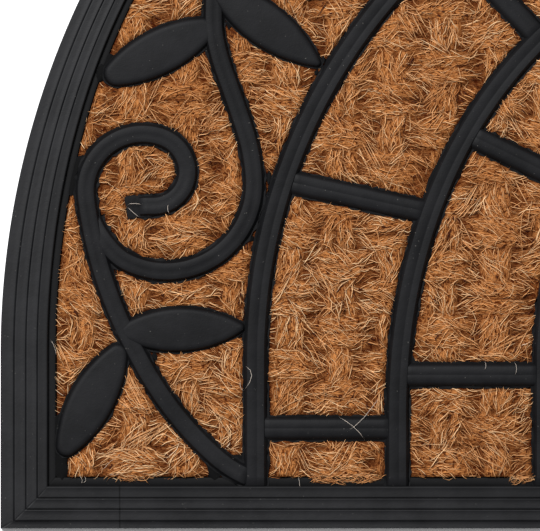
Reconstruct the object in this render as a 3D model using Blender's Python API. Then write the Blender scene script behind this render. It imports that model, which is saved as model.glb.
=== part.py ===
"""Half round doormat: a moulded rubber tray with a raised tracery over one woven coir mat.

Metres, +Z up.  The mat lies flat.  Its origin is on the underside, at the centre of its
bounding box; the straight edge faces -Y and the two halves mirror each other about X = 0.
The rubber is one moulding: a backing sheet, a stepped border and a tracery of arches, cross
bars, vines and leaves that bridges the coir.  The coir is one mat that lies on the backing
and is pressed down where the tracery crosses it.
"""
import math
from collections import namedtuple

import bmesh
import bpy

# Overall size: a half circle, very slightly flattened, that stands on a short straight
# stretch.
MAT_WIDTH = 0.750
MAT_DEPTH = 0.450
HALF_WIDTH = MAT_WIDTH / 2
CROWN_RISE = 0.372
OUTLINE_CENTRE_Y = MAT_DEPTH / 2 - CROWN_RISE
STRAIGHT_EDGE_Y = -MAT_DEPTH / 2
OUTLINE_STEPS = 44

# Stepped border, from the outer edge inwards.
BACKING_THICKNESS = 0.0025
STRIP_WIDTHS = (0.0062, 0.0053, 0.0051, 0.0046)
OUTER_STRIP_TOP = 0.0044
STRIP_RISE = 0.0011
OUTER_EDGE_CHAMFER = 0.0005
GROOVE_HALF_WIDTH = 0.0004
GROOVE_DEPTH = 0.0006
LEDGE_WIDTH = 0.0035
LEDGE_TOP = 0.0058
BORDER_WIDTH = sum(STRIP_WIDTHS)
TRAY_INSET = BORDER_WIDTH + LEDGE_WIDTH
# Inset at the two sides, and the distance from the straight edge that goes with it.
STRAIGHT_EDGE_SECTION = ((0.0, 0.0), (0.0062, 0.0035), (0.0115, 0.0088), (0.0166, 0.0138),
                         (0.0212, 0.0190), (0.0247, 0.02286))
# Round the half circle the border is narrower than at the two straight sides.
CROWN_NARROWING = 0.12
NARROWING_END_DEG = 27.0

# Tracery ribs: a thin foot and a narrower, flat top.
Rib = namedtuple("Rib", "foot_half_width top_half_width underside top")
ARCH_RIB = Rib(0.0059, 0.0039, 0.0050, 0.0086)
BAR_RIB = Rib(0.0059, 0.0039, 0.0052, 0.0083)
VINE_RIB = Rib(0.0053, 0.0036, 0.0051, 0.00845)
CURL_PAD_RIB = Rib(0.0052, 0.0048, 0.00515, 0.0066)
RIB_FOOT_TOP = 0.0060
END_OVERLAP = 0.0002
RIB_END_Y = STRAIGHT_EDGE_Y + STRAIGHT_EDGE_SECTION[-2][1] - END_OVERLAP
LEAF_TOP = 0.0089
LEAF_UNDERSIDE = 0.0052

# Arches, from the outside in.  Each springs from two straight legs and is half an ellipse,
# a little fuller at its shoulders: fullness is the ellipse's power, 2 for a plain one.
Arch = namedtuple("Arch", "half_span rise spring_y fullness")
ARCHES = (
    Arch(0.2616, 0.2504, -0.1501, 2.04),
    Arch(0.1986, 0.2209, -0.1757, 2.13),
    Arch(0.1330, 0.1360, -0.1510, 2.10),
    Arch(0.0680, 0.0820, -0.1510, 2.10),
)
ARCH_STEPS = 36

# Cross bars between each arch and the next, staggered from row to row.
# leg_y: the height of the bar between the straight legs.  slanted_bars: the angles from -X
# at which a bar leaves the outer and the inner arch.
BarRow = namedtuple("BarRow", "leg_y slanted_bars has_crown_bar")
BAR_ROWS = (
    BarRow(-0.1805, ((18.1, 22.85), (47.85, 48.45), (76.0, 76.5)), False),
    BarRow(-0.1568, ((33.4, 32.3), (61.5, 61.5)), True),
    BarRow(-0.1805, ((24.0, 26.0), (68.0, 69.0)), False),
)

# Vine: leaf pairs stand on a ring, a fixed angle apart, measured from -X.
VINE_CENTRE_Y = -0.150
VINE_RING_RADIUS = 0.3184
FIRST_PAIR_DEG = 1.85
PAIR_PITCH_DEG = 26.5
PAIR_COUNT = 4
WIDENING_DEG = 30.0
STEM_HEADING_DEG = 116.6
CURVE_STEP_DEG = 16.0
CURVE_STEP_LENGTH = 0.020

# A stroke is a run of arcs.  turn_deg is positive to the left; a run with no turn is straight.
Run = namedtuple("Run", "length turn_deg")


def arc_run(radius, turn_deg):
    """One arc of a stroke, given by its radius and its turn."""
    return Run(radius * math.radians(abs(turn_deg)), turn_deg)


# From the first leaf pair down to the corner between the border and the outer arch.
FOOT_RUNS = (Run(0.0178, 3.4), Run(0.0400, 15.0), Run(0.0095, 4.0), Run(0.0160, 18.0))
# From a leaf pair up the stem and round the curl to its square end.
CURL_RUNS = (
    Run(0.0194, -5.9),
    arc_run(0.1893, -13.7),
    arc_run(0.0254, -116.3),
    arc_run(0.0171, -50.9),
    arc_run(0.0151, -110.7),
    Run(0.0060, 6.0),
)
CURL_END_PAD = Run(0.0060, 5.0)
# From a leaf pair back down to the stem below it.
BRANCH_RUNS = (
    Run(0.0087, 10.5),
    Run(0.0157, 9.6),
    Run(0.0259, -1.8),
    arc_run(0.0873, -15.1),
    arc_run(0.0389, -121.4),
    arc_run(0.0185, -14.6),
    arc_run(0.0443, -25.1),
)

# Leaves: long ovals with rounded tips.  along and across place a leaf's base from its pair,
# in the pair's own directions: along the stem and to its right.
Leaf = namedtuple("Leaf", "along across heading_deg length width tip_radius")
LEAF_BEVEL = 0.0020
LEAF_FOOT_TOP = 0.0062
LEAF_SIDE_STEPS = 7
LEAF_TIP_STEPS = 4
FIRST_PAIR_LEAVES = (
    Leaf(0.0051, -0.0054, -114.6, 0.0597, 0.0213, 0.0031),
    Leaf(-0.0017, -0.0033, 124.6, 0.0575, 0.0216, 0.0055),
)
OTHER_PAIR_LEAVES = (
    Leaf(0.0177, -0.0043, -126.5, 0.0650, 0.0209, 0.0027),
    Leaf(-0.0019, 0.0009, 116.5, 0.0557, 0.0217, 0.0066),
)
CROWN_LEAF = (0.0570, 0.0211, 0.0031)

# Coir mat: one D of woven coir, pressed into channels under the tracery.
CLEARANCE = 0.0003
COIR_TOP = 0.0080
CUTTER_TOP = 0.0120

RUBBER_COLOUR = (0.030, 0.030, 0.033, 1.0)
RUBBER_ROUGHNESS = 0.55
COIR_COLOUR = (0.330, 0.150, 0.055, 1.0)
COIR_ROUGHNESS = 0.95


def clear_scene():
    """Remove every object that the file opened with."""
    for thing in list(bpy.data.objects):
        bpy.data.objects.remove(thing, do_unlink=True)


def make_material(name, colour, roughness):
    """A plain Principled material."""
    material = bpy.data.materials.new(name)
    material.use_nodes = True
    shader = material.node_tree.nodes["Principled BSDF"]
    shader.inputs["Base Color"].default_value = colour
    shader.inputs["Roughness"].default_value = roughness
    shader.inputs["Metallic"].default_value = 0.0
    return material


def make_object(name, rings):
    """A closed solid lofted through rings of points, all of one length, with flat ends."""
    mesh = bpy.data.meshes.new(name)
    bm = bmesh.new()
    loops = [[bm.verts.new(point) for point in ring] for ring in rings]
    count = len(loops[0])
    for lower, upper in zip(loops, loops[1:]):
        for i in range(count):
            j = (i + 1) % count
            bm.faces.new((lower[i], lower[j], upper[j], upper[i]))
    bm.faces.new(list(reversed(loops[0])))
    bm.faces.new(loops[-1])
    bmesh.ops.recalc_face_normals(bm, faces=bm.faces)
    bm.to_mesh(mesh)
    bm.free()
    thing = bpy.data.objects.new(name, mesh)
    bpy.context.scene.collection.objects.link(thing)
    return thing


def border_share(angle):
    """Width of the border round the half circle, as a share of its width at the sides."""
    share = min(min(angle, math.pi - angle) / math.radians(NARROWING_END_DEG), 1.0)
    return 1.0 - CROWN_NARROWING * share * share * (3.0 - 2.0 * share)


def straight_edge_inset(inset):
    """Distance from the straight edge that goes with an inset at the sides."""
    for (start, low), (end, high) in zip(STRAIGHT_EDGE_SECTION, STRAIGHT_EDGE_SECTION[1:]):
        if inset <= end:
            return low + (high - low) * (inset - start) / (end - start)
    return STRAIGHT_EDGE_SECTION[-1][1]


def half_round(inset, z, clearance=0.0):
    """The mat's outline, set in by a distance from the border's section and a clearance."""
    side = HALF_WIDTH - inset - clearance
    low = STRAIGHT_EDGE_Y + straight_edge_inset(inset) + clearance
    points = [(-side, low, z), (side, low, z)]
    for i in range(OUTLINE_STEPS + 1):
        angle = math.pi * i / OUTLINE_STEPS
        radius = HALF_WIDTH - inset * border_share(angle) - clearance
        rise = radius * math.sin(angle) * CROWN_RISE / HALF_WIDTH
        points.append((radius * math.cos(angle), OUTLINE_CENTRE_Y + rise, z))
    return points


def border_profile():
    """Inset and height of each ring, from the underside up over the border to the tray."""
    profile = [(0.0, 0.0), (0.0, OUTER_STRIP_TOP - OUTER_EDGE_CHAMFER)]
    inset = OUTER_EDGE_CHAMFER
    top = OUTER_STRIP_TOP
    edge = 0.0
    for width in STRIP_WIDTHS:
        edge += width
        profile.append((inset, top))
        profile.append((edge - GROOVE_HALF_WIDTH, top))
        if edge < BORDER_WIDTH:
            profile.append((edge, top - GROOVE_DEPTH))
        inset = edge + GROOVE_HALF_WIDTH / 2
        top += STRIP_RISE
    profile.append((BORDER_WIDTH, LEDGE_TOP))
    profile.append((TRAY_INSET, LEDGE_TOP))
    profile.append((TRAY_INSET, BACKING_THICKNESS))
    return profile


def make_tray():
    """Backing sheet and stepped border, as one solid."""
    return make_object("tray", [half_round(inset, z) for inset, z in border_profile()])


def make_coir_slab():
    """The coir mat before the tracery's channels are cut."""
    return make_object("slab",
                       [half_round(TRAY_INSET, BACKING_THICKNESS + CLEARANCE, CLEARANCE),
                        half_round(TRAY_INSET, COIR_TOP, CLEARANCE)])


def rib_section(rib):
    """Across and up coordinates of a rib: foot, sloping sides and flat top."""
    foot, crest = rib.foot_half_width, rib.top_half_width
    return ((-foot, rib.underside), (foot, rib.underside), (foot, RIB_FOOT_TOP),
            (crest, rib.top), (-crest, rib.top), (-foot, RIB_FOOT_TOP))


def channel_section(rib):
    """The straight-sided channel that a rib needs in the coir."""
    half = rib.foot_half_width + CLEARANCE
    low = rib.underside - CLEARANCE
    return ((-half, low), (half, low), (half, CUTTER_TOP), (-half, CUTTER_TOP))


def sweep(name, stations, section):
    """Carry a section along stations, each a point x, y and the heading there."""
    rings = []
    for x, y, heading in stations:
        across_x, across_y = math.sin(heading), -math.cos(heading)
        rings.append([(x + a * across_x, y + a * across_y, z) for a, z in section])
    return make_object(name, rings)


def mirrored(stations):
    """The same stations on the other side of X = 0."""
    return [(-x, y, math.pi - heading) for x, y, heading in stations]


def reversed_stations(stations):
    """The same stations, walked the other way."""
    return [(x, y, heading + math.pi) for x, y, heading in reversed(stations)]


def walk(x, y, heading, runs):
    """Stations along a stroke that starts at x, y with a heading and follows its runs."""
    stations = [(x, y, heading)]
    for run in runs:
        turn = math.radians(run.turn_deg)
        steps = max(1, math.ceil(abs(run.turn_deg) / CURVE_STEP_DEG),
                    math.ceil(run.length / CURVE_STEP_LENGTH))
        chord = run.length / steps
        if turn:
            chord *= math.sin(abs(turn) / steps / 2) / (abs(turn) / steps / 2)
        for _ in range(steps):
            heading += turn / steps / 2
            x += chord * math.cos(heading)
            y += chord * math.sin(heading)
            heading += turn / steps / 2
            stations.append((x, y, heading))
    return stations


def arch_point(arch, degrees):
    """A point on an arch's half ellipse, by its angle from -X."""
    across, up = math.cos(math.radians(degrees)), math.sin(math.radians(degrees))
    power = 2.0 / arch.fullness
    return (-arch.half_span * math.copysign(abs(across) ** power, across),
            arch.spring_y + arch.rise * max(up, 0.0) ** power)


def arch_heading(arch, degrees):
    """Direction of travel along an arch, from the points half a degree to either side."""
    back = arch_point(arch, max(degrees - 0.5, 0.0))
    ahead = arch_point(arch, min(degrees + 0.5, 180.0))
    return math.atan2(ahead[1] - back[1], ahead[0] - back[0])


def arch_stations(arch):
    """Up one leg, over the half ellipse and down the other leg."""
    stations = [(-arch.half_span, RIB_END_Y, math.pi / 2)]
    for i in range(ARCH_STEPS + 1):
        degrees = 180.0 * i / ARCH_STEPS
        stations.append((*arch_point(arch, degrees), arch_heading(arch, degrees)))
    stations.append((arch.half_span, RIB_END_Y, -math.pi / 2))
    return stations


def ring_point(radius, degrees):
    """A point on a circle about the vines' centre, by its angle from -X."""
    angle = math.radians(degrees)
    return -radius * math.cos(angle), VINE_CENTRE_Y + radius * math.sin(angle)


def straight_stations(start, end):
    """Two stations for a straight bar."""
    heading = math.atan2(end[1] - start[1], end[0] - start[0])
    return [(start[0], start[1], heading), (end[0], end[1], heading)]


def bar_stations():
    """Every cross bar, both sides, from the middle of one arch to the middle of the next."""
    bars = []
    for row, outer, inner in zip(BAR_ROWS, ARCHES, ARCHES[1:]):
        left = [straight_stations((-outer.half_span, row.leg_y), (-inner.half_span, row.leg_y))]
        for outer_deg, inner_deg in row.slanted_bars:
            left.append(straight_stations(arch_point(outer, outer_deg),
                                          arch_point(inner, inner_deg)))
        bars += left + [mirrored(bar) for bar in left]
        if row.has_crown_bar:
            bars.append(straight_stations(arch_point(outer, 90.0), arch_point(inner, 90.0)))
    return bars


def pair_station(index):
    """Point and stem heading of a leaf pair on the left side."""
    degrees = FIRST_PAIR_DEG + index * PAIR_PITCH_DEG
    x, y = ring_point(VINE_RING_RADIUS, degrees)
    return x, y, math.radians(STEM_HEADING_DEG - index * PAIR_PITCH_DEG)


def join(back, forth):
    """One stroke from two that start at the same pair and leave it opposite ways."""
    return reversed_stations(back) + forth[1:]


def vine_strokes():
    """Every stroke of the vines, spread to fill the ring between border and outer arch."""
    return [[(*spread(x, y), heading) for x, y, heading in stroke] for stroke in plain_strokes()]


def spread(x, y):
    """Move a point of the vine inwards where the outer arch lies lower than a circle would.

    Above WIDENING_DEG the ring between the border and the outer arch grows wider towards the
    crown.  A point keeps its share of the ring's width, measured from the border's ledge.
    """
    outer = HALF_WIDTH - TRAY_INSET * (1.0 - CROWN_NARROWING)
    radius = math.hypot(x, y - VINE_CENTRE_Y)
    angle = math.atan2(y - VINE_CENTRE_Y, abs(x))
    start = math.radians(WIDENING_DEG)
    if angle <= start:
        return x, y
    ratio = (outer - outer_arch_radius(angle)) / (outer - outer_arch_radius(start))
    factor = (outer - (outer - radius) * ratio) / radius
    return x * factor, VINE_CENTRE_Y + (y - VINE_CENTRE_Y) * factor


def outer_arch_radius(angle):
    """Distance from the vines' centre to the outer arch's middle, in one direction."""
    arch = ARCHES[0]
    across, up = abs(math.cos(angle)) / arch.half_span, math.sin(angle) / arch.rise
    return (across ** arch.fullness + up ** arch.fullness) ** (-1.0 / arch.fullness)


def plain_strokes():
    """Every stroke on a ring of even width: left side, its mirror image, then the crown."""
    left = []
    x, y, heading = pair_station(0)
    below = walk(x, y, heading + math.pi, FOOT_RUNS)
    for index in range(PAIR_COUNT - 1):
        left.append(join(below, walk(x, y, heading, CURL_RUNS)))
        x, y, heading = pair_station(index + 1)
        below = walk(x, y, heading + math.pi, BRANCH_RUNS)
    half_crown = join(below, walk(x, y, heading, crown_runs()))
    crown = half_crown + reversed_stations(mirrored(half_crown))[1:]
    return left + [mirrored(stroke) for stroke in left] + [crown]


def crown_runs():
    """From the last pair, one arc that meets its mirror image level on the centre line."""
    x, y, heading = pair_station(PAIR_COUNT - 1)
    return (arc_run(-x / math.sin(heading), -math.degrees(heading)),)


def curl_end_pads():
    """The low square pad past the end of each curl, both sides."""
    left = []
    for index in range(PAIR_COUNT - 1):
        x, y, heading = pair_station(index)
        start = walk(x, y, heading, CURL_RUNS)[-2]
        pad = walk(*start, CURL_RUNS[-1:] + (CURL_END_PAD,))
        left.append([(*spread(x, y), heading) for x, y, heading in pad])
    return left + [mirrored(pad) for pad in left]


def crown_point():
    """Where the two vines meet, on the centre line."""
    x, y, heading = pair_station(PAIR_COUNT - 1)
    radius = -x / math.sin(heading)
    return 0.0, y + radius * (1.0 - math.cos(heading))


def leaf_places():
    """Base point, heading, length, width and tip radius of every leaf."""
    places = []
    for index in range(PAIR_COUNT):
        x, y, heading = pair_station(index)
        for leaf in FIRST_PAIR_LEAVES if index == 0 else OTHER_PAIR_LEAVES:
            base_x = x + leaf.along * math.cos(heading) + leaf.across * math.sin(heading)
            base_y = y + leaf.along * math.sin(heading) - leaf.across * math.cos(heading)
            leaf_heading = heading + math.radians(leaf.heading_deg)
            size = (leaf.length, leaf.width, leaf.tip_radius)
            places.append((base_x, base_y, leaf_heading, *size))
            places.append((-base_x, base_y, math.pi - leaf_heading, *size))
    x, y = crown_point()
    places.append((x, y, -math.pi / 2, *CROWN_LEAF))
    return places


def leaf_ring(place, inset, z):
    """A leaf's outline, set in by a distance: two equal long arcs and a small one at each tip.

    The long arcs bound a pointed lens whose tips are the centres of the small ones.
    """
    base_x, base_y, heading, length, width, tip_radius = place
    half_length = length / 2 - tip_radius
    half_width = width / 2 - tip_radius
    radius = (half_length ** 2 + half_width ** 2) / (2 * half_width)
    centre_offset = radius - half_width
    reach = math.asin(half_length / radius)
    small = tip_radius - inset
    arcs = ((0.0, -centre_offset, radius + small, -reach, reach, LEAF_SIDE_STEPS),
            (half_length, 0.0, small, reach, math.pi - reach, LEAF_TIP_STEPS),
            (0.0, centre_offset, radius + small, math.pi - reach, math.pi + reach,
             LEAF_SIDE_STEPS),
            (-half_length, 0.0, small, math.pi + reach, 2 * math.pi - reach, LEAF_TIP_STEPS))
    points = []
    for centre_along, centre_across, arc_radius, start, end, steps in arcs:
        for i in range(steps):
            angle = start + (end - start) * i / steps
            along = length / 2 + centre_along + arc_radius * math.sin(angle)
            across = centre_across + arc_radius * math.cos(angle)
            x = base_x + along * math.cos(heading) - across * math.sin(heading)
            y = base_y + along * math.sin(heading) + across * math.cos(heading)
            points.append((*spread(x, y), z))
    return points


def make_leaf(place):
    """A leaf with a thin foot, a bevelled rim and a flat top."""
    return make_object("leaf", [leaf_ring(place, 0.0, LEAF_UNDERSIDE),
                                leaf_ring(place, 0.0, LEAF_FOOT_TOP),
                                leaf_ring(place, LEAF_BEVEL, LEAF_TOP)])


def make_leaf_channel(place):
    """The straight-sided pocket that a leaf needs in the coir."""
    return make_object("leaf channel",
                       [leaf_ring(place, -CLEARANCE, LEAF_UNDERSIDE - CLEARANCE),
                        leaf_ring(place, -CLEARANCE, CUTTER_TOP)])


def tracery():
    """Every rib as its stations and its cross-section."""
    ribs = [(arch_stations(arch), ARCH_RIB) for arch in ARCHES]
    ribs += [(stations, BAR_RIB) for stations in bar_stations()]
    ribs += [(stations, VINE_RIB) for stations in vine_strokes()]
    ribs += [(stations, CURL_PAD_RIB) for stations in curl_end_pads()]
    return ribs


def combine(name, base, shapes, operation, material):
    """Boolean a list of solids into a base solid, and keep only the result."""
    collection = bpy.data.collections.new(name + " shapes")
    bpy.context.scene.collection.children.link(collection)
    for shape in shapes:
        collection.objects.link(shape)
        bpy.context.scene.collection.objects.unlink(shape)
    modifier = base.modifiers.new("Boolean", "BOOLEAN")
    modifier.operation = operation
    modifier.operand_type = "COLLECTION"
    modifier.collection = collection
    modifier.solver = "EXACT"
    bpy.context.view_layer.update()
    graph = bpy.context.evaluated_depsgraph_get()
    mesh = bpy.data.meshes.new_from_object(base.evaluated_get(graph))
    for shape in shapes + [base]:
        bpy.data.objects.remove(shape, do_unlink=True)
    bpy.data.collections.remove(collection)
    mesh.name = name
    mesh.materials.clear()
    mesh.materials.append(material)
    result = bpy.data.objects.new(name, mesh)
    bpy.context.scene.collection.objects.link(result)
    return result


def make_rubber():
    """Tray, border and tracery, united as one moulding."""
    shapes = [sweep("rib", stations, rib_section(rib)) for stations, rib in tracery()]
    shapes += [make_leaf(place) for place in leaf_places()]
    material = make_material("rubber", RUBBER_COLOUR, RUBBER_ROUGHNESS)
    return combine("rubber_moulding", make_tray(), shapes, "UNION", material)


def make_coir():
    """The coir mat, with a channel wherever the tracery crosses it."""
    channels = [sweep("channel", stations, channel_section(rib))
                for stations, rib in tracery()]
    channels += [make_leaf_channel(place) for place in leaf_places()]
    material = make_material("coir", COIR_COLOUR, COIR_ROUGHNESS)
    return combine("coir_mat", make_coir_slab(), channels, "DIFFERENCE", material)


def main():
    """Build the doormat."""
    clear_scene()
    make_rubber()
    make_coir()


main()
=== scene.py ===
"""Looks of the half round doormat: moulded rubber tracery over a woven coir mat.

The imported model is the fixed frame.  Its two plain solids are replaced by finished pieces:
the stepped rubber border, the ribs and leaves of the tracery, the woven coir and its loose
fibres.  Metres, +Z up.  The mat lies flat and its straight edge faces -Y.
"""
from __future__ import annotations

import logging
import math
from dataclasses import dataclass, field
from enum import Enum

import bpy
import numpy as np
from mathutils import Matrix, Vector

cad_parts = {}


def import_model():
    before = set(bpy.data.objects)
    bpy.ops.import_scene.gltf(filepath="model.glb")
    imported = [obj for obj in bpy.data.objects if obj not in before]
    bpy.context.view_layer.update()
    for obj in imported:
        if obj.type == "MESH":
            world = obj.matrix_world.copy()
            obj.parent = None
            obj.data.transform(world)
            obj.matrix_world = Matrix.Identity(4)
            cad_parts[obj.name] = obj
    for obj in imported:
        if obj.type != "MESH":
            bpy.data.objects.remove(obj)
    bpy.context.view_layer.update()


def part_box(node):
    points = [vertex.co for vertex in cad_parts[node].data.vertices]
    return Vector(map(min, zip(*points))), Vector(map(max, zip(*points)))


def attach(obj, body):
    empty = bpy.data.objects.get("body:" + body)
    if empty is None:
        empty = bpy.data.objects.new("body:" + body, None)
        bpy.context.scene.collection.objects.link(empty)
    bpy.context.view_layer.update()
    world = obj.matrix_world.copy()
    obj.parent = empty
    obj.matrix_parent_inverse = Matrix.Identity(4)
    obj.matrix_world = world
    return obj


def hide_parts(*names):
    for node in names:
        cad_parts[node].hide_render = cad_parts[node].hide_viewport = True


LOG = logging.getLogger("doormat")
MM = 0.001
# Spacing of the points of a stroke, before it is spaced for its rings.
STRIDE = 0.25 * MM
# Edges of a soft or woven piece never count as sharp.
ALL_SMOOTH_DEG = 180.0

Array = np.ndarray
Material = bpy.types.Material
Object = bpy.types.Object
Colour = tuple[float, float, float, float]
Pair = tuple[float, float]
Triple = tuple[float, float, float]
Pairs = tuple[Pair, ...]


def smooth_step(low: float, high: float, value: Array) -> Array:
    """Rise smoothly from 0 at low to 1 at high: 3t^2 - 2t^3 of the share t of the way."""
    share = np.clip((value - low) / (high - low), 0.0, 1.0)
    return share * share * (3.0 - 2.0 * share)


def evenly(points: Array, step: float) -> Array:
    """Space the points of a line evenly.

    Args:
        points: Line of points, one x, y a row.
        step: Spacing wanted.

    Returns:
        Points on the same line, by linear interpolation over its length.
    """
    run = np.concatenate([[0.0], np.cumsum(np.hypot(*np.diff(points, axis=0).T))])
    places = np.linspace(0.0, run[-1], max(2, round(run[-1] / step) + 1))
    return np.stack([np.interp(places, run, points[:, i]) for i in (0, 1)], axis=1)


def rightward(points: Array) -> Array:
    """Unit vectors to the right of travel along a line, from the slope of its coordinates."""
    heading = np.arctan2(*np.gradient(points, axis=0).T[::-1])
    return np.stack([np.sin(heading), -np.cos(heading)], axis=1)


def mirrored(points: Array) -> Array:
    """The same line on the other side of X = 0."""
    return points * np.array([-1.0, 1.0])


def both_sides(lines: list[Array]) -> list[Array]:
    """The lines and their mirror images."""
    return lines + [mirrored(line) for line in lines]


def cell_corners(grid: Array) -> Array:
    """The values of a grid at the four corners of each cell, in turn round the cell."""
    return np.stack([grid[:-1, :-1], grid[:-1, 1:], grid[1:, 1:], grid[1:, :-1]], axis=-1)


def tube_faces(rings: int, around: int) -> Array:
    """Corner numbers of the quads between closed rings of points.

    Args:
        rings: How many rings there are.
        around: How many points a ring has.

    Returns:
        Four corners a row.
    """
    near = np.arange(around)
    far = (near + 1) % around
    row = np.arange(rings - 1)[:, None] * around
    quads = np.stack([row + near, row + far, row + around + far, row + around + near], axis=-1)
    return quads.reshape(-1, 4)


class MeshMaker:
    """Collects patches of points and faces and makes one mesh object of them."""

    def __init__(self) -> None:
        """Start with no patches."""
        self.points: list[Array] = []
        self.faces: list[Array] = []
        self.values: dict[str, list[Array]] = {}
        self.count = 0

    def add(self, points: Array, *faces: Array, **values: Array) -> None:
        """Add one patch.

        Args:
            points: x, y, z a row.
            faces: Arrays of corner numbers, each with faces of one size.
            values: One number a point for each named attribute.
        """
        self.points.append(points)
        self.faces += [face + self.count for face in faces]
        self.count += len(points)
        for name, column in values.items():
            self.values.setdefault(name, []).append(column)

    def add_loft(self, rings: list[Array] | Array, turned: bool, **values: Array) -> None:
        """Add a closed patch: rings joined by quads, with the first and the last ring filled.

        Args:
            rings: Ring, point, and x, y, z.
            turned: Whether every face runs the other way round.
            values: As for add.
        """
        count, around = len(rings), len(rings[0])
        last = np.arange(around)[None] + (count - 1) * around
        faces = [tube_faces(count, around), np.arange(around)[None, ::-1], last]
        if turned:
            faces = [face[:, ::-1] for face in faces]
        self.add(np.concatenate(rings), *faces, **values)

    def build(self, name: str, material: Material, sharp_deg: float) -> Object:
        """Make the mesh object.

        Args:
            name: Name of the object and its mesh.
            material: Its only material.
            sharp_deg: Edges that turn more than this stay sharp.

        Returns:
            The new object, at the origin.
        """
        mesh = bpy.data.meshes.new(name)
        points = np.concatenate(self.points)
        corners = np.concatenate([face.ravel() for face in self.faces])
        sizes = np.concatenate([np.full(len(face), face.shape[1]) for face in self.faces])
        mesh.vertices.add(len(points))
        mesh.vertices.foreach_set("co", points.astype(np.float32).ravel())
        mesh.loops.add(len(corners))
        mesh.loops.foreach_set("vertex_index", corners.astype(np.int32))
        mesh.polygons.add(len(sizes))
        starts = np.concatenate([[0], np.cumsum(sizes)[:-1]])
        mesh.polygons.foreach_set("loop_start", starts.astype(np.int32))
        mesh.polygons.foreach_set("use_smooth", np.ones(len(sizes), dtype=bool))
        mesh.update(calc_edges=True)
        mesh.validate()
        mesh.set_sharp_from_angle(angle=math.radians(sharp_deg))
        for label, columns in self.values.items():
            layer = mesh.attributes.new(label, "FLOAT", "POINT")
            layer.data.foreach_set("value", np.concatenate(columns).astype(np.float32))
        mesh.materials.append(material)
        piece = bpy.data.objects.new(name, mesh)
        bpy.context.scene.collection.objects.link(piece)
        return piece


@dataclass(frozen=True)
class Outline:
    """The mat's plan: a half circle, very slightly flattened, on a short straight stretch."""

    width: float
    depth: float
    crown_rise: float = 372.0 * MM
    # Distances from the straight edge are about this share of those from the sides.  From an
    # angle up the half circle on, they are smaller than at the sides by the narrowing.
    straight_ratio: float = 0.9
    narrowing: float = 0.12
    narrowing_end_deg: float = 27.0
    # Spacing of a ring's points, and that of the two points next to a corner.
    step: float = 3.0 * MM
    mitre: float = 0.45 * MM
    # Inset at the sides, and the distance from the straight edge that goes with it, in mm.
    straight_section: Pairs = (
        (0.0, 0.0), (6.2, 3.5), (11.5, 8.8), (16.6, 13.8), (21.2, 19.0), (24.7, 22.86),
        (26.7, 24.66))

    @property
    def corners(self) -> list[int]:
        """Which points of a ring are the two corners."""
        return [0, round(self.width / self.step)]

    @property
    def radius(self) -> float:
        """Half the mat's width."""
        return self.width / 2

    @property
    def squash(self) -> float:
        """Rise of the half circle as a share of its radius."""
        return self.crown_rise / self.radius

    @property
    def centre_y(self) -> float:
        """Where the half circle's centre lies."""
        return self.depth / 2 - self.crown_rise

    @property
    def straight_y(self) -> float:
        """Where the straight edge lies."""
        return -self.depth / 2

    def low_y(self, inset: float) -> float:
        """Where a ring's straight stretch lies, by linear interpolation in the section."""
        return self.straight_y + float(np.interp(inset, *np.array(self.straight_section).T * MM))

    def share(self, angle: Array) -> Array:
        """How wide the border is at an angle up from the sides, as a share of its width there."""
        return 1.0 - self.narrowing * smooth_step(0.0, math.radians(self.narrowing_end_deg), angle)

    def ring(self, inset: float) -> Array:
        """The outline, set in; every inset has the same number of points.

        Args:
            inset: Distance from the edge at the sides.

        Returns:
            x, y a row: along the straight edge, then round the half circle.
        """
        low = self.low_y(inset)
        side = self.centre_y - self.straight_y
        base_count = round(self.width / self.step)
        side_count = round(side / self.step)
        arc_count = round(math.pi * self.radius / self.step)
        reach = self.radius - inset
        base = np.linspace(-reach, reach, base_count, endpoint=False)
        climb = np.linspace(low, self.centre_y, side_count, endpoint=False)
        near = np.array([1.0, 2.0]) * self.mitre
        base[1:3], base[:-3:-1], climb[1:3] = near - reach, reach - near, low + near
        angle = np.linspace(0.0, math.pi, arc_count + 1)
        radius = self.radius - inset * self.share(np.minimum(angle, math.pi - angle))
        right = np.stack([np.full(side_count, reach), climb], axis=1)
        rise = self.squash * radius * np.sin(angle)
        arc = np.stack([radius * np.cos(angle), self.centre_y + rise], axis=1)
        left = mirrored(right)[:0:-1]
        return np.concatenate([np.stack([base, np.full(base_count, low)], axis=1),
                               right, arc, left])

    def inset_at(self, x: Array, y: Array) -> Array:
        """How far points lie inside the edge, as measured at the sides.

        Args:
            x, y: Of the points.

        Returns:
            The lesser of the insets from the half circle and from the straight edge, negative
            outside.
        """
        above = np.maximum(y - self.centre_y, 0.0) / self.squash
        share = self.share(np.arctan2(above, np.abs(x)))
        return np.minimum((self.radius - np.hypot(x, above)) / share,
                          (y - self.straight_y) / self.straight_ratio)


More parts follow.
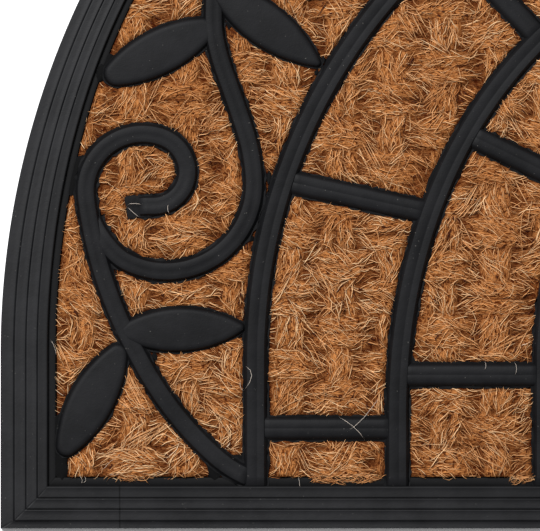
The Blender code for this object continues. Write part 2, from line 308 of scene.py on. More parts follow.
@dataclass(frozen=True)
class Border:
    """The stepped rubber border, its inner ledge and the backing sheet."""

    strip_widths: tuple[float, ...] = (6.2 * MM, 5.3 * MM, 5.1 * MM, 4.6 * MM)
    first_top: float = 4.4 * MM
    rise: float = 1.1 * MM
    edge_chamfer: float = 0.5 * MM
    ledge_width: float = 3.5 * MM
    ledge_top: float = 5.8 * MM
    backing: float = 2.5 * MM
    groove_depth: float = 0.24 * MM
    mitre_depth: float = 0.13 * MM
    # Painted shade, which also makes the rubber rougher: how much the last strip gets, from just
    # past its groove on, how much the ledge gets, and the run over which that begins.
    last_strip_shade: float = 0.25
    past_groove: float = 0.1 * MM
    ledge_shade: float = 0.7
    shade_run: float = 0.4 * MM
    sharp_deg: float = 42.0
    # Across a strip: share of its width, and height above its face in millimetres.
    strip_section: Pairs = (
        (0.03, -0.07), (0.08, 0.00), (0.15, 0.0), (0.45, -0.05), (0.70, -0.03),
        (0.80, 0.12), (0.87, 0.22), (0.93, 0.08), (0.97, -0.14))
    # Across the ledge, in millimetres: distance from its outer edge, and height above its top.
    ledge_section: Pairs = ((0.15, -0.4), (0.6, -0.1), (2.8, 0.0), (3.3, -0.2))

    @property
    def width(self) -> float:
        """Width of all strips together."""
        return sum(self.strip_widths)

    @property
    def tray_inset(self) -> float:
        """Distance from the mat's edge to the coir."""
        return self.width + self.ledge_width

    def profile(self) -> Array:
        """The section from the underside over the strips and the ledge to the tray.

        Returns:
            Inset and height a row.
        """
        rows = [(0.0, 0.0), (0.0, self.first_top - self.edge_chamfer)]
        edge, top = 0.0, self.first_top
        for width in self.strip_widths:
            rows += [(edge + share * width, top + height * MM)
                     for share, height in self.strip_section]
            edge += width
            rows.append((edge, top - self.groove_depth))
            top += self.rise
        rows[2] = (self.edge_chamfer, self.first_top)
        rows[-1] = (edge, self.ledge_top)
        rows += [(edge + across * MM, self.ledge_top + height * MM)
                 for across, height in self.ledge_section]
        rows.append((self.tray_inset, self.backing))
        return np.array(rows)

    def shades(self, insets: Array) -> Array:
        """How much painted shade the section gets at each inset; it also makes the rubber rougher.

        Args:
            insets: Distances from the mat's edge.

        Returns:
            0 over the first strips, a little on the last one, and a smooth step to the ledge.
        """
        into_ledge = insets - self.width
        # Painted shade: the ledge darkest, lying low beside the strips, and the last strip a
        # little.
        darkening = self.ledge_shade * smooth_step(-self.shade_run, 0.0, into_ledge)
        on_last = into_ledge > self.past_groove - self.strip_widths[-1]
        return np.where(on_last, np.maximum(darkening, self.last_strip_shade), darkening)

    def build(self, outline: Outline, material: Material) -> Object:
        """Loft the section round the outline, a little lower along the mitres of its corners.

        The underside and the tray's floor close it.

        Args:
            outline: The mat's plan.
            material: The rubber.

        Returns:
            The border and backing sheet as one piece.
        """
        profile = self.profile()
        plans = [outline.ring(inset) for inset in profile[:, 0]]
        rings = [np.column_stack([plan, np.full(len(plan), height)])
                 for plan, height in zip(plans, profile[:, 1])]
        for ring in rings[2:-1]:
            ring[outline.corners, 2] -= self.mitre_depth
        maker = MeshMaker()
        # Each point of the loft carries its painted shade.
        maker.add_loft(rings, False, shade=np.repeat(self.shades(profile[:, 0]), len(plans[0])))
        return maker.build("rubber_border", material, self.sharp_deg)


@dataclass(frozen=True)
class RibSection:
    """A rib's section over its top: across, to the right of its line, and height, in mm.

    The flash beyond flash_from wanders.  The whole rib gets at least as much painted shade as
    its shade says, which also makes it rougher, and both ends of a pointed one are rounded off
    in plan.
    """

    over: Pairs
    underside: float
    flash_from: float
    shade: float = 0.0
    pointed: bool = False

    @property
    def half_width(self) -> float:
        """Half the width of its foot."""
        return self.over[-1][0] * MM

    def around(self) -> Array:
        """The whole section as a ring, from the left foot over the top to the right foot."""
        feet = [(self.over[0][0], self.underside), (self.over[-1][0], self.underside)]
        return np.array([feet[0], *self.over, feet[1]]) * MM


ARCH_SECTION = RibSection((
    (-5.9, 6.05), (-5.3, 6.0), (-4.9, 6.6), (-4.3, 7.7), (-3.7, 8.46), (-2.6, 8.56), (0.4, 8.60),
    (0.65, 8.51), (0.9, 8.59), (3.7, 8.48), (4.3, 7.7), (4.9, 6.6), (5.3, 6.0), (5.9, 6.05)),
    5.0, 5.0)
BAR_SECTION = RibSection((
    (-5.9, 5.95), (-5.3, 5.9), (-4.9, 6.6), (-4.3, 7.7), (-3.6, 8.14), (-0.4, 8.22),
    (-0.15, 8.13), (0.1, 8.20), (2.9, 8.14), (3.6, 7.8), (4.4, 6.9), (5.0, 6.1), (5.4, 5.9),
    (5.9, 5.95)), 5.0, 5.0)
VINE_SECTION = RibSection((
    (-5.3, 6.1), (-4.7, 6.0), (-4.4, 6.4), (-4.0, 7.3), (-3.5, 8.22), (-3.0, 8.40), (-0.5, 8.45),
    (-0.3, 8.39), (1.6, 8.45), (3.0, 8.40), (3.5, 8.22), (4.0, 7.3), (4.4, 6.4), (4.7, 6.0),
    (5.3, 6.1)), 5.0, 4.4)
# Pads, webs and nooks lie low between the ribs: painted shade darkens all of each.
PAD_SECTION = RibSection((
    (-5.2, 6.30), (-4.6, 6.58), (-3.2, 6.50), (-1.6, 6.60), (0.0, 6.42), (1.6, 6.60),
    (3.2, 6.50), (4.6, 6.58), (5.2, 6.30)), 5.0, 0.0, shade=0.4)
WEB_SECTION = RibSection(((-2.8, 5.5), (-1.5, 5.85), (0.0, 5.95), (1.5, 5.85), (2.8, 5.5)),
                         5.0, 0.0, shade=0.85, pointed=True)
NOOK_SECTION = RibSection(((-1.2, 5.5), (-0.5, 5.8), (0.5, 5.8), (1.2, 5.5)), 5.0, 0.0,
                          shade=0.7, pointed=True)


@dataclass(frozen=True)
class Arch:
    """Half an ellipse on two straight legs, a little fuller at its shoulders than a plain one."""

    half_span: float
    rise: float
    spring_y: float
    fullness: float

    def point(self, degrees: Array | float) -> Array:
        """Points of the arch.

        Args:
            degrees: Angles from -X.

        Returns:
            x, y a row: the cosine and the sine, each to the power 2 / fullness.
        """
        across, up = np.cos(np.radians(degrees)), np.maximum(np.sin(np.radians(degrees)), 0.0)
        power = 2.0 / self.fullness
        return np.stack([-self.half_span * np.sign(across) * np.abs(across) ** power,
                         self.spring_y + self.rise * up ** power], axis=-1)

    def reach(self, angle: Array) -> Array:
        """Distance to the arch from the middle of its springing, by the angle above X."""
        across, up = np.abs(np.cos(angle)) / self.half_span, np.sin(angle) / self.rise
        return (across ** self.fullness + up ** self.fullness) ** (-1.0 / self.fullness)


@dataclass(frozen=True)
class BarRow:
    """Cross bars between one arch and the next."""

    leg_y: float
    slanted: Pairs
    crown_bar: bool


@dataclass(frozen=True)
class Leaf:
    """A long oval with rounded tips: its place from its pair, in the stem's own directions."""

    along: float
    across: float
    heading_deg: float
    length: float
    width: float
    tip_radius: float


@dataclass(frozen=True)
class LeafPlace:
    """A leaf where it lies.

    Its outline is a pointed lens of two equal arcs, grown by the radius of its tips.
    """

    x: float
    y: float
    heading: float
    length: float
    width: float
    tip_radius: float

    def lens(self) -> Triple:
        """The pointed lens inside the outline.

        Returns:
            Half its length, its arcs' radius, and how far off its middle they are centred.
        """
        half_length = self.length / 2 - self.tip_radius
        half_width = self.width / 2 - self.tip_radius
        radius = (half_length ** 2 + half_width ** 2) / (2 * half_width)
        return half_length, radius, radius - half_width

    def plan(self, along: Array, across: Array) -> Array:
        """Points of the plan from distances along the leaf and across it."""
        cos, sin = math.cos(self.heading), math.sin(self.heading)
        return np.stack([self.x + along * cos - across * sin,
                         self.y + along * sin + across * cos], axis=1)


# A stretch of a stroke: its length, and its turn in degrees, positive to the left.
Run = Pair


def arc_run(radius: float, turn_deg: float) -> Run:
    """One arc of a stroke: its length and its turn, from its radius and its turn."""
    return radius * math.radians(abs(turn_deg)), turn_deg


def walk(x: float, y: float, heading: float, runs: tuple[Run, ...]) -> Array:
    """Follow a stroke of arcs.

    The heading is linear in the distance walked along each run, and the points are the
    running sum of its direction over short steps.

    Args:
        x, y: Start.
        heading: Direction at the start, in radians.
        runs: The arcs, one after another.

    Returns:
        x, y a row, closely spaced.
    """
    ends = np.concatenate([[0.0], np.cumsum([length for length, _ in runs])])
    turns = np.concatenate([[0.0], np.cumsum([math.radians(turn) for _, turn in runs])])
    steps = max(2, round(ends[-1] / STRIDE))
    stride = ends[-1] / steps
    middles = (np.arange(steps) + 0.5) * stride
    angle = heading + np.interp(middles, ends, turns)
    path = np.cumsum(np.stack([np.cos(angle), np.sin(angle)], axis=1), axis=0) * stride
    return np.concatenate([[[x, y]], path + [x, y]])


@dataclass(frozen=True)
class TraceryPlan:
    """Where every arch, bar, vine and leaf of the tracery runs."""

    outline: Outline
    border: Border
    arches: tuple[Arch, ...] = (
        Arch(0.2616, 0.2504, -0.1501, 2.04), Arch(0.1986, 0.2209, -0.1757, 2.13),
        Arch(0.1330, 0.1360, -0.1510, 2.10), Arch(0.0680, 0.0820, -0.1510, 2.10))
    bar_rows: tuple[BarRow, ...] = (
        BarRow(-0.1805, ((18.1, 22.85), (47.85, 48.45), (76.0, 76.5)), False),
        BarRow(-0.1568, ((33.4, 32.3), (61.5, 61.5)), True),
        BarRow(-0.1805, ((24.0, 26.0), (68.0, 69.0)), False))
    ring_centre_y: float = -0.150
    ring_radius: float = 0.3184
    first_pair_deg: float = 1.85
    pair_pitch_deg: float = 26.5
    pair_count: int = 4
    widening_deg: float = 30.0
    stem_heading_deg: float = 116.6
    foot_runs: tuple[Run, ...] = ((0.0178, 3.4), (0.0400, 15.0), (0.0095, 4.0), (0.0160, 18.0))
    curl_runs: tuple[Run, ...] = (
        (0.0194, -5.9), arc_run(0.1893, -13.7), arc_run(0.0254, -116.3),
        arc_run(0.0171, -50.9), arc_run(0.0151, -110.7), (0.0060, 6.0))
    curl_end_pad: Run = (0.0060, 5.0)
    branch_runs: tuple[Run, ...] = (
        (0.0087, 10.5), (0.0157, 9.6), (0.0259, -1.8), arc_run(0.0873, -15.1),
        arc_run(0.0389, -121.4), arc_run(0.0185, -14.6), arc_run(0.0443, -25.1))
    first_leaves: tuple[Leaf, ...] = (
        Leaf(0.0051, -0.0054, -114.6, 0.0597, 0.0213, 0.0031),
        Leaf(-0.0017, -0.0033, 124.6, 0.0575, 0.0216, 0.0055))
    other_leaves: tuple[Leaf, ...] = (
        Leaf(0.0177, -0.0043, -126.5, 0.0650, 0.0209, 0.0027),
        Leaf(-0.0019, 0.0009, 116.5, 0.0557, 0.0217, 0.0066))
    crown_leaf: Triple = (0.0570, 0.0211, 0.0031)
    least_tip: float = 0.15 * MM
    # Low webs of rubber, in millimetres, that fill narrow gaps: beside the first leaf, on both
    # sides of the vine's foot, beside each curl and off the tip of each outer leaf.  The last
    # two are those of the first curl and of the leaf above it.
    leaf_web: Pairs = ((-348.4, -174.0), (-347.6, -203.4))
    foot_webs: tuple[Pairs, ...] = (((-280.9, -194.0), (-279.6, -203.3)),
                                    ((-275.0, -194.0), (-263.5, -195.6)))
    curl_web: Pairs = ((-338.3, -59.0), (-343.9, -77.0))
    tip_web: Pairs = ((-325.6, -14.2), (-331.6, -26.4))
    # The sharpest nooks between ribs, where a little rubber has run in, in millimetres.
    nooks: tuple[Pairs, ...] = (
        ((-273.8, 1.6), (-273.4, -3.4)), ((-231.6, -15.0), (-231.4, -18.4)),
        ((-234.0, -21.0), (-235.2, -23.6)), ((-255.6, -66.0), (-255.9, -72.0)),
        ((-324.0, -110.0), (-323.4, -112.4)), ((-262.7, -95.0), (-264.2, -97.4)),
        ((-307.0, -146.4), (-305.7, -150.4)), ((-267.0, -138.8), (-269.0, -140.2)))

    def room(self, x: Array, y: Array) -> Array:
        """How far points lie inside the border and its ledge, negative over them."""
        return self.outline.inset_at(x, y) - self.border.tray_inset

    def arch_lines(self) -> list[Array]:
        """Every arch: up one leg, over the half ellipse and down the other leg.

        Returns:
            A line an arch.
        """
        foot_y = self.outline.low_y(self.border.width)
        half_degrees = np.linspace(0.0, 180.0, 361)
        return [np.concatenate([[[-arch.half_span, foot_y]], arch.point(half_degrees),
                                [[arch.half_span, foot_y]]]) for arch in self.arches]

    def bar_lines(self, end_gap: float) -> list[Array]:
        """Every cross bar.

        Args:
            end_gap: How far a bar stops short of each arch's middle.

        Returns:
            Two points a bar.
        """
        lines = []
        for row, outer, inner in zip(self.bar_rows, self.arches, self.arches[1:]):
            left = [np.array([[-outer.half_span, row.leg_y], [-inner.half_span, row.leg_y]])]
            left += [np.stack([outer.point(a), inner.point(b)]) for a, b in row.slanted]
            lines += left + [mirrored(line)[::-1] for line in left]
            if row.crown_bar:
                lines.append(np.stack([outer.point(90.0), inner.point(90.0)]))
        shortened = []
        for start, end in lines:
            back = (end - start) / np.hypot(*(end - start)) * end_gap
            shortened.append(np.stack([start + back, end - back]))
        return shortened

    def pair(self, index: int) -> Triple:
        """Where a leaf pair of the left side is.

        Args:
            index: Its number, from the foot up.

        Returns:
            x, y and the stem's heading in radians.
        """
        degrees = self.first_pair_deg + index * self.pair_pitch_deg
        angle = math.radians(degrees)
        x = -self.ring_radius * math.cos(angle)
        y = self.ring_centre_y + self.ring_radius * math.sin(angle)
        return x, y, math.radians(self.stem_heading_deg - index * self.pair_pitch_deg)

    def spread(self, points: Array) -> Array:
        """Fill the ring between border and outer arch where it grows wider to the crown.

        A point keeps its share of the ring's width, measured from the border's ledge.

        Args:
            points: x, y a row, on a ring of even width.

        Returns:
            The points in the real ring.
        """
        arch = self.arches[0]
        outer = self.outline.radius - self.border.tray_inset * (1.0 - self.outline.narrowing)
        rise = points[:, 1] - self.ring_centre_y
        radius = np.hypot(points[:, 0], rise)
        start = math.radians(self.widening_deg)
        angle = np.maximum(np.arctan2(rise, np.abs(points[:, 0])), start)
        inner = arch.reach(np.stack([angle, np.full_like(angle, start)]))
        ratio = (outer - inner[0]) / (outer - inner[1])
        factor = (outer - (outer - radius) * ratio) / radius
        return np.stack([points[:, 0] * factor, self.ring_centre_y + rise * factor], axis=1)

    def crown_run(self) -> Run:
        """From the last pair, one arc that meets its mirror image on the centre line."""
        x, _, heading = self.pair(self.pair_count - 1)
        return arc_run(-x / math.sin(heading), -math.degrees(heading))

    def vine_lines(self) -> list[Array]:
        """Every stroke of the vines, joined through the leaf pairs.

        Returns:
            A line a stroke; the last one runs over the crown from side to side.
        """
        x, y, heading = self.pair(0)
        below = walk(x, y, heading + math.pi, self.foot_runs)
        left = []
        for index in range(self.pair_count - 1):
            above = walk(x, y, heading, self.curl_runs)
            left.append(np.concatenate([below[::-1], above[1:]]))
            x, y, heading = self.pair(index + 1)
            below = walk(x, y, heading + math.pi, self.branch_runs)
        half = np.concatenate([below[::-1], walk(x, y, heading, (self.crown_run(),))[1:]])
        crown = np.concatenate([half, mirrored(half)[-2::-1]])
        return [self.spread(line) for line in both_sides(left) + [crown]]

    def pad_lines(self) -> list[Array]:
        """The low square pad past the end of each curl.

        Returns:
            A line a pad: the end of its curl's stroke, walked a little farther.
        """
        left = []
        for index in range(self.pair_count - 1):
            x, y, heading = self.pair(index)
            curl = walk(x, y, heading, self.curl_runs + (self.curl_end_pad,))
            length = self.curl_end_pad[0] + self.curl_runs[-1][0]
            left.append(self.spread(curl[-round(length / STRIDE):]))
        return both_sides(left)

    def web_lines(self) -> list[Array]:
        """The webs; the higher curls and leaves get turned copies.

        Returns:
            A line a web, on both sides.
        """
        left = [np.array(web) * MM for web in (self.leaf_web, *self.foot_webs)]
        for index in range(self.pair_count - 1):
            turn = math.radians(-index * self.pair_pitch_deg)
            cos, sin = math.cos(turn), math.sin(turn)
            for web in (self.curl_web, self.tip_web):
                points = np.array(web) * MM - [0.0, self.ring_centre_y]
                turned = points @ np.array([[cos, sin], [-sin, cos]]) + [0.0, self.ring_centre_y]
                left.append(self.spread(turned))
        return both_sides(left)

    def nook_lines(self) -> list[Array]:
        """The filled nooks on both sides."""
        return both_sides([np.array(nook) * MM for nook in self.nooks])

    def leaves(self) -> list[LeafPlace]:
        """The leaves of both vines and the one at the crown.

        Returns:
            Where each lies.
        """
        places = []
        for index in range(self.pair_count):
            x, y, heading = self.pair(index)
            for leaf in self.first_leaves if index == 0 else self.other_leaves:
                base_x = x + leaf.along * math.cos(heading) + leaf.across * math.sin(heading)
                base_y = y + leaf.along * math.sin(heading) - leaf.across * math.cos(heading)
                turned = heading + math.radians(leaf.heading_deg)
                size = (leaf.length, leaf.width, leaf.tip_radius)
                places.append(LeafPlace(base_x, base_y, turned, *size))
                places.append(LeafPlace(-base_x, base_y, math.pi - turned, *size))
        x, y, heading = self.pair(self.pair_count - 1)
        crown_y = y - x / math.sin(heading) * (1.0 - math.cos(heading))
        places.append(LeafPlace(0.0, crown_y, -math.pi / 2, *self.crown_leaf))
        return places

    def leaf_ring(self, place: LeafPlace, inset: float, steps: int) -> tuple[Array, Array]:
        """A leaf's outline, set in by a distance.

        Each point turns evenly about the centre of its own arc.  Once the inset has used up
        a tip's radius, the lens itself shrinks and the tip keeps a very small one.

        Args:
            place: The leaf.
            inset: Distance inside the outline.
            steps: Points on each long side; each tip has a third as many.

        Returns:
            x, y a row, all the way round, and each point's distance from the base.
        """
        half_length, radius, offset = place.lens()
        shrink = max(0.0, inset - place.tip_radius + self.least_tip)
        small = place.tip_radius - inset + shrink
        radius -= shrink
        reach = math.acos(offset / radius)
        half_length = radius * math.sin(reach)
        side = reach * (2.0 * np.arange(steps) / steps - 1.0)
        tip = reach + (math.pi - 2 * reach) * np.arange(steps // 3) / (steps // 3)
        along = [(radius + small) * np.sin(side), half_length + small * np.sin(tip)]
        across = [(radius + small) * np.cos(side) - offset, small * np.cos(tip)]
        along = np.concatenate(along + [-part for part in along])
        across = np.concatenate(across + [-part for part in across])
        points = place.plan(along + place.length / 2, across)
        return self.spread(points)[::-1], (along + place.length / 2)[::-1]

    def leaf_axis(self, place: LeafPlace, count: int) -> tuple[Array, Array]:
        """The largest discs inside a leaf.

        Args:
            place: The leaf.
            count: How many discs, evenly along its middle.

        Returns:
            Their centres, x, y a row, and their radii.
        """
        half_length, radius, offset = place.lens()
        along = np.linspace(-half_length, half_length, count)
        points = place.plan(along + place.length / 2, np.zeros(count))
        return self.spread(points), place.tip_radius + radius - np.hypot(along, offset)


@dataclass
class Tracery:
    """The raised rubber ribs and leaves, as swept and lofted pieces."""

    plan: TraceryPlan
    material: Material
    arch_step: float = 2.1 * MM
    vine_step: float = 1.8 * MM
    bar_end_gap: float = 2.3 * MM
    sharp_deg: float = 38.0
    # Flash at the foot: how far it wanders outwards, and how much of that it rises.
    flash_wander: float = 0.34 * MM
    flash_lift: float = 0.35
    # Height below which neither rounding nor burying moves a rib.
    foot_top: float = 6.0 * MM
    # Ends round off over a run by a share of the height.  An end this close to another rib
    # sinks into it.
    end_fall: float = 1.6 * MM
    end_share: float = 0.5
    bury_within: float = 3.5 * MM
    buried_fall: float = 11.0 * MM
    buried_drop: float = 1.0 * MM
    # The last ring of a pointed rib keeps a little of its width.
    point_limit: float = 0.97
    # How much painted shade darkens a foot, where the rib's flank and the coir shade it; it
    # also makes it rougher.  Its run says how far inside its edge that has ended and how far it
    # is still full; a leaf's is in millimetres.
    foot_shade: float = 0.40
    foot_run: Pair = (2.0 * MM, 1.1 * MM)
    leaf_steps: int = 21
    leaf_sink: float = 0.6 * MM
    leaf_sink_over: float = 15.0 * MM
    # A leaf's flash wanders by this share of a rib's.
    leaf_flash: float = 0.6
    leaf_foot_run: Pair = (1.6, 0.8)
    # Across a leaf's rim: inset and height in millimetres; rows up to leaf_flash_to are flash.
    leaf_flash_to: float = 0.0
    leaf_section: Pairs = (
        (0.0, 5.0), (0.0, 6.12), (0.5, 6.05), (0.8, 6.4), (1.25, 7.9), (1.7, 8.5),
        (2.5, 8.78), (3.6, 8.85))
    rng: np.random.Generator = field(default_factory=lambda: np.random.default_rng(11))

    def rib(self, maker: MeshMaker, line: Array, section: RibSection, step: float,
            buried: tuple[bool, bool]) -> None:
        """Carry a section along a line; its flash wanders and its ends round off.

        Args:
            maker: Where the patch goes.
            line: x, y a row.
            section: The rib's section.
            step: Spacing of the rings.
            buried: Whether its start and its end run into another rib, and sink there.
        """
        points = evenly(line, step)
        ring = section.around()
        count, around = len(points), len(ring)
        across = np.broadcast_to(ring[:, 0], (count, around)).copy()
        up = np.broadcast_to(ring[:, 1], (count, around)).copy()
        flash = np.abs(ring[:, 0]) > section.flash_from * MM
        wander = self.rng.normal(0.0, self.flash_wander, (count, around))
        across += np.sign(across) * np.where(flash, wander, 0.0)
        up += np.where(flash, self.flash_lift * np.roll(wander, 1, axis=0), 0.0)
        run = np.arange(count) * step
        from_end = np.minimum(run, run[::-1])
        fall = 1.0 - smooth_step(0.0, self.end_fall, from_end)
        up -= self.end_share * fall[:, None] * np.maximum(up - self.foot_top, 0.0)
        for sinks, distance in zip(buried, (run, run[::-1])):
            drop = self.buried_drop * sinks * (1.0 - smooth_step(0.0, self.buried_fall, distance))
            up -= drop[:, None] * (up > self.foot_top)
        # Painted shade: the feet darker, and the whole of a low rib as its section says.
        inside = section.half_width - np.abs(ring[:, 0])
        feet = self.foot_shade * smooth_step(*self.foot_run, inside)
        shade = np.tile(np.maximum(feet, section.shade), count)
        if section.pointed:
            left_over = np.clip(1.0 - from_end / section.half_width, 0.0, self.point_limit)
            across *= np.sqrt(1.0 - left_over ** 2)[:, None]
        plan = points[:, None, :] + across[..., None] * rightward(points)[:, None, :]
        maker.add_loft(np.concatenate([plan, up[..., None]], axis=2), True, shade=shade)

    def ribs(self, name: str, lines: list[Array], section: RibSection, step: float) -> Object:
        """One piece of several ribs that share a section.

        Args:
            name: Name of the piece.
            lines: A line for each rib.
            section: Their section.
            step: Spacing of the rings.

        Returns:
            The piece; an end that lies close to another of the lines is buried in it.
        """
        maker = MeshMaker()
        far_off = np.full((1, 2), 9.0)
        for number, line in enumerate(lines):
            others = np.concatenate([far_off] + lines[:number] + lines[number + 1:])
            gaps = [np.hypot(*(others - end).T).min() for end in (line[0], line[-1])]
            start, end = [gap < self.bury_within for gap in gaps]
            self.rib(maker, line, section, step, (start, end))
        return maker.build(name, self.material, self.sharp_deg)

    def leaf(self, maker: MeshMaker, place: LeafPlace) -> None:
        """Loft a leaf through its rim, lower towards its base, and close it with a flat top.

        Args:
            maker: Where the patch goes.
            place: The leaf.
        """
        rings = []
        top = self.leaf_section[-1][1] * MM
        for inset, height in self.leaf_section:
            plan, along = self.plan.leaf_ring(place, inset * MM, self.leaf_steps)
            sink = self.leaf_sink * (1.0 - smooth_step(0.0, self.leaf_sink_over, along))
            above = max(height * MM - self.foot_top, 0.0)
            up = height * MM - sink * above / (top - self.foot_top)
            if inset <= self.leaf_flash_to:
                wander = self.flash_wander * self.leaf_flash
                plan = plan + self.rng.normal(0.0, wander, plan.shape)
            rings.append(np.column_stack([plan, up]))
        # Painted shade round the leaf's foot.
        insets = np.array(self.leaf_section)[:, 0]
        shade = self.foot_shade * smooth_step(*self.leaf_foot_run, insets)
        maker.add_loft(rings, True, shade=np.repeat(shade, len(rings[0])))

    def build(self) -> list[Object]:
        """Make every piece of the tracery.

        Returns:
            Arches, bars, vines, curl pads, webs, filled nooks and leaves.
        """
        plan = self.plan
        table = (
            ("rubber_arches", plan.arch_lines(), ARCH_SECTION, self.arch_step),
            ("rubber_bars", plan.bar_lines(self.bar_end_gap), BAR_SECTION, self.arch_step),
            ("rubber_vines", plan.vine_lines(), VINE_SECTION, self.vine_step),
            ("rubber_curl_pads", plan.pad_lines(), PAD_SECTION, self.vine_step / 2),
            ("rubber_webs", plan.web_lines(), WEB_SECTION, self.vine_step),
            ("rubber_nooks", plan.nook_lines(), NOOK_SECTION, self.vine_step))
        pieces = [self.ribs(*row) for row in table]
        maker = MeshMaker()
        for place in plan.leaves():
            self.leaf(maker, place)
        pieces.append(maker.build("rubber_leaves", self.material, self.sharp_deg))
        return pieces


class PlanGrid:
    """Values on a square grid over the mat, read back by bilinear interpolation."""

    MARGIN_CELLS = 4

    def __init__(self, outline: Outline, cell: float) -> None:
        """Lay out an empty grid, a few cells wider than the mat.

        Args:
            outline: The mat's plan.
            cell: The grid's spacing.
        """
        self.cell = cell
        self.low = np.array([-outline.width / 2, -outline.depth / 2]) - self.MARGIN_CELLS * cell
        size = np.round((-2 * self.low) / cell).astype(int) + 1
        self.columns = self.low[0] + np.arange(size[0]) * cell
        self.rows = self.low[1] + np.arange(size[1]) * cell
        self.grid = np.zeros((size[1], size[0]))

    def at(self, x: Array, y: Array) -> Array:
        """The value at points; outside the grid it is that of its edge.

        Args:
            x, y: Of the points, in arrays of any shape.

        Returns:
            Values of the four grid points round each, weighted by how near they are.
        """
        height, width = self.grid.shape
        across = np.clip((x - self.low[0]) / self.cell, 0, width - 1.001)
        up = np.clip((y - self.low[1]) / self.cell, 0, height - 1.001)
        i, j = across.astype(int), up.astype(int)
        s, t = across - i, up - j
        lower = self.grid[j, i] * (1 - s) + self.grid[j, i + 1] * s
        upper = self.grid[j + 1, i] * (1 - s) + self.grid[j + 1, i + 1] * s
        return lower * (1 - t) + upper * t


class Drift(PlanGrid):
    """A smooth random value of even spread: noise blurred to a given size."""

    COARSEST_CELL = 2.0 * MM

    def __init__(self, outline: Outline, size: float, seed: int) -> None:
        """Blur even noise with a bell curve, through its Fourier transform.

        Args:
            outline: The mat's plan.
            size: Half the width of the bell curve.
            seed: Source of chance.
        """
        super().__init__(outline, min(size / 2, self.COARSEST_CELL))
        noise = np.random.default_rng(seed).normal(0.0, 1.0, self.grid.shape)
        across = np.fft.fftfreq(self.grid.shape[1], self.cell)
        up = np.fft.fftfreq(self.grid.shape[0], self.cell)
        bell = np.exp(-2 * (math.pi * size) ** 2 * (across[None] ** 2 + up[:, None] ** 2))
        blurred = np.real(np.fft.ifft2(np.fft.fft2(noise) * bell))
        self.grid = blurred / blurred.std()


class FootField(PlanGrid):
    """How far any point of the plan lies outside the rubber's feet.

    The feet are a union of discs along every rib and leaf.  A point's value is its distance
    to the nearest disc's edge, or to the border.
    """

    CELL = 1.0 * MM
    # Half a disc's window, how many windows are worked out at once, and discs along a leaf.
    REACH = 17 * MM
    BATCH = 1500
    LEAF_DISCS = 48
    # A pad is covered by rows of small discs, which round its corners.
    PAD_CORNER = 1.3 * MM
    PAD_ROWS = 5

    def __init__(self, plan: TraceryPlan) -> None:
        """Fill the grid from windows round every disc.

        Args:
            plan: Where the tracery runs.
        """
        super().__init__(plan.outline, self.CELL)
        grid_x, grid_y = np.meshgrid(self.columns, self.rows)
        self.grid = plan.room(grid_x, grid_y)
        centres, radii = self.discs(plan)
        reach = round(self.REACH / self.cell)
        window = np.arange(-reach, reach + 1)
        for start in range(0, len(centres), self.BATCH):
            chosen = slice(start, start + self.BATCH)
            centre, radius = centres[chosen], radii[chosen]
            home = np.round((centre - self.low) / self.cell).astype(int)
            column = np.clip(home[:, 0, None] + window, 0, len(self.columns) - 1)[:, None, :]
            row = np.clip(home[:, 1, None] + window, 0, len(self.rows) - 1)[:, :, None]
            span = np.hypot(self.columns[column] - centre[:, 0, None, None],
                            self.rows[row] - centre[:, 1, None, None])
            column, row = np.broadcast_arrays(column, row)
            np.minimum.at(self.grid, (row, column), span - radius[:, None, None])

    def discs(self, plan: TraceryPlan) -> tuple[Array, Array]:
        """Centres and radii of the discs that make up the feet.

        Args:
            plan: Where the tracery runs.

        Returns:
            x, y a row, and a radius each.  The discs of a pointed rib stop short of its ends.
        """
        groups = [(plan.arch_lines(), ARCH_SECTION), (plan.bar_lines(0.0), BAR_SECTION),
                  (plan.vine_lines(), VINE_SECTION), (plan.web_lines(), WEB_SECTION),
                  (plan.nook_lines(), NOOK_SECTION)]
        centres, radii = [], []
        for lines, section in groups:
            trim = round(section.half_width / self.CELL) if section.pointed else 0
            for line in lines:
                dots = evenly(line, self.CELL)
                middle = len(dots) // 2
                dots = dots[min(trim, middle):max(len(dots) - trim, middle + 1)]
                centres.append(dots)
                radii.append(np.full(len(dots), section.half_width))
        half_row = PAD_SECTION.half_width - self.PAD_CORNER
        for line in plan.pad_lines():
            dots = evenly(line, self.CELL)
            side = rightward(dots)
            for share in np.linspace(-1.0, 1.0, self.PAD_ROWS):
                centres.append((dots + side * (share * half_row))[:-1])
                radii.append(np.full(len(dots) - 1, self.PAD_CORNER))
        for place in plan.leaves():
            axis, half_width = plan.leaf_axis(place, self.LEAF_DISCS)
            centres.append(axis)
            radii.append(half_width)
        return np.concatenate(centres), np.concatenate(radii)


class Lie(Enum):
    """Which way a yarn lies."""

    WEFT = 0
    WARP = 1


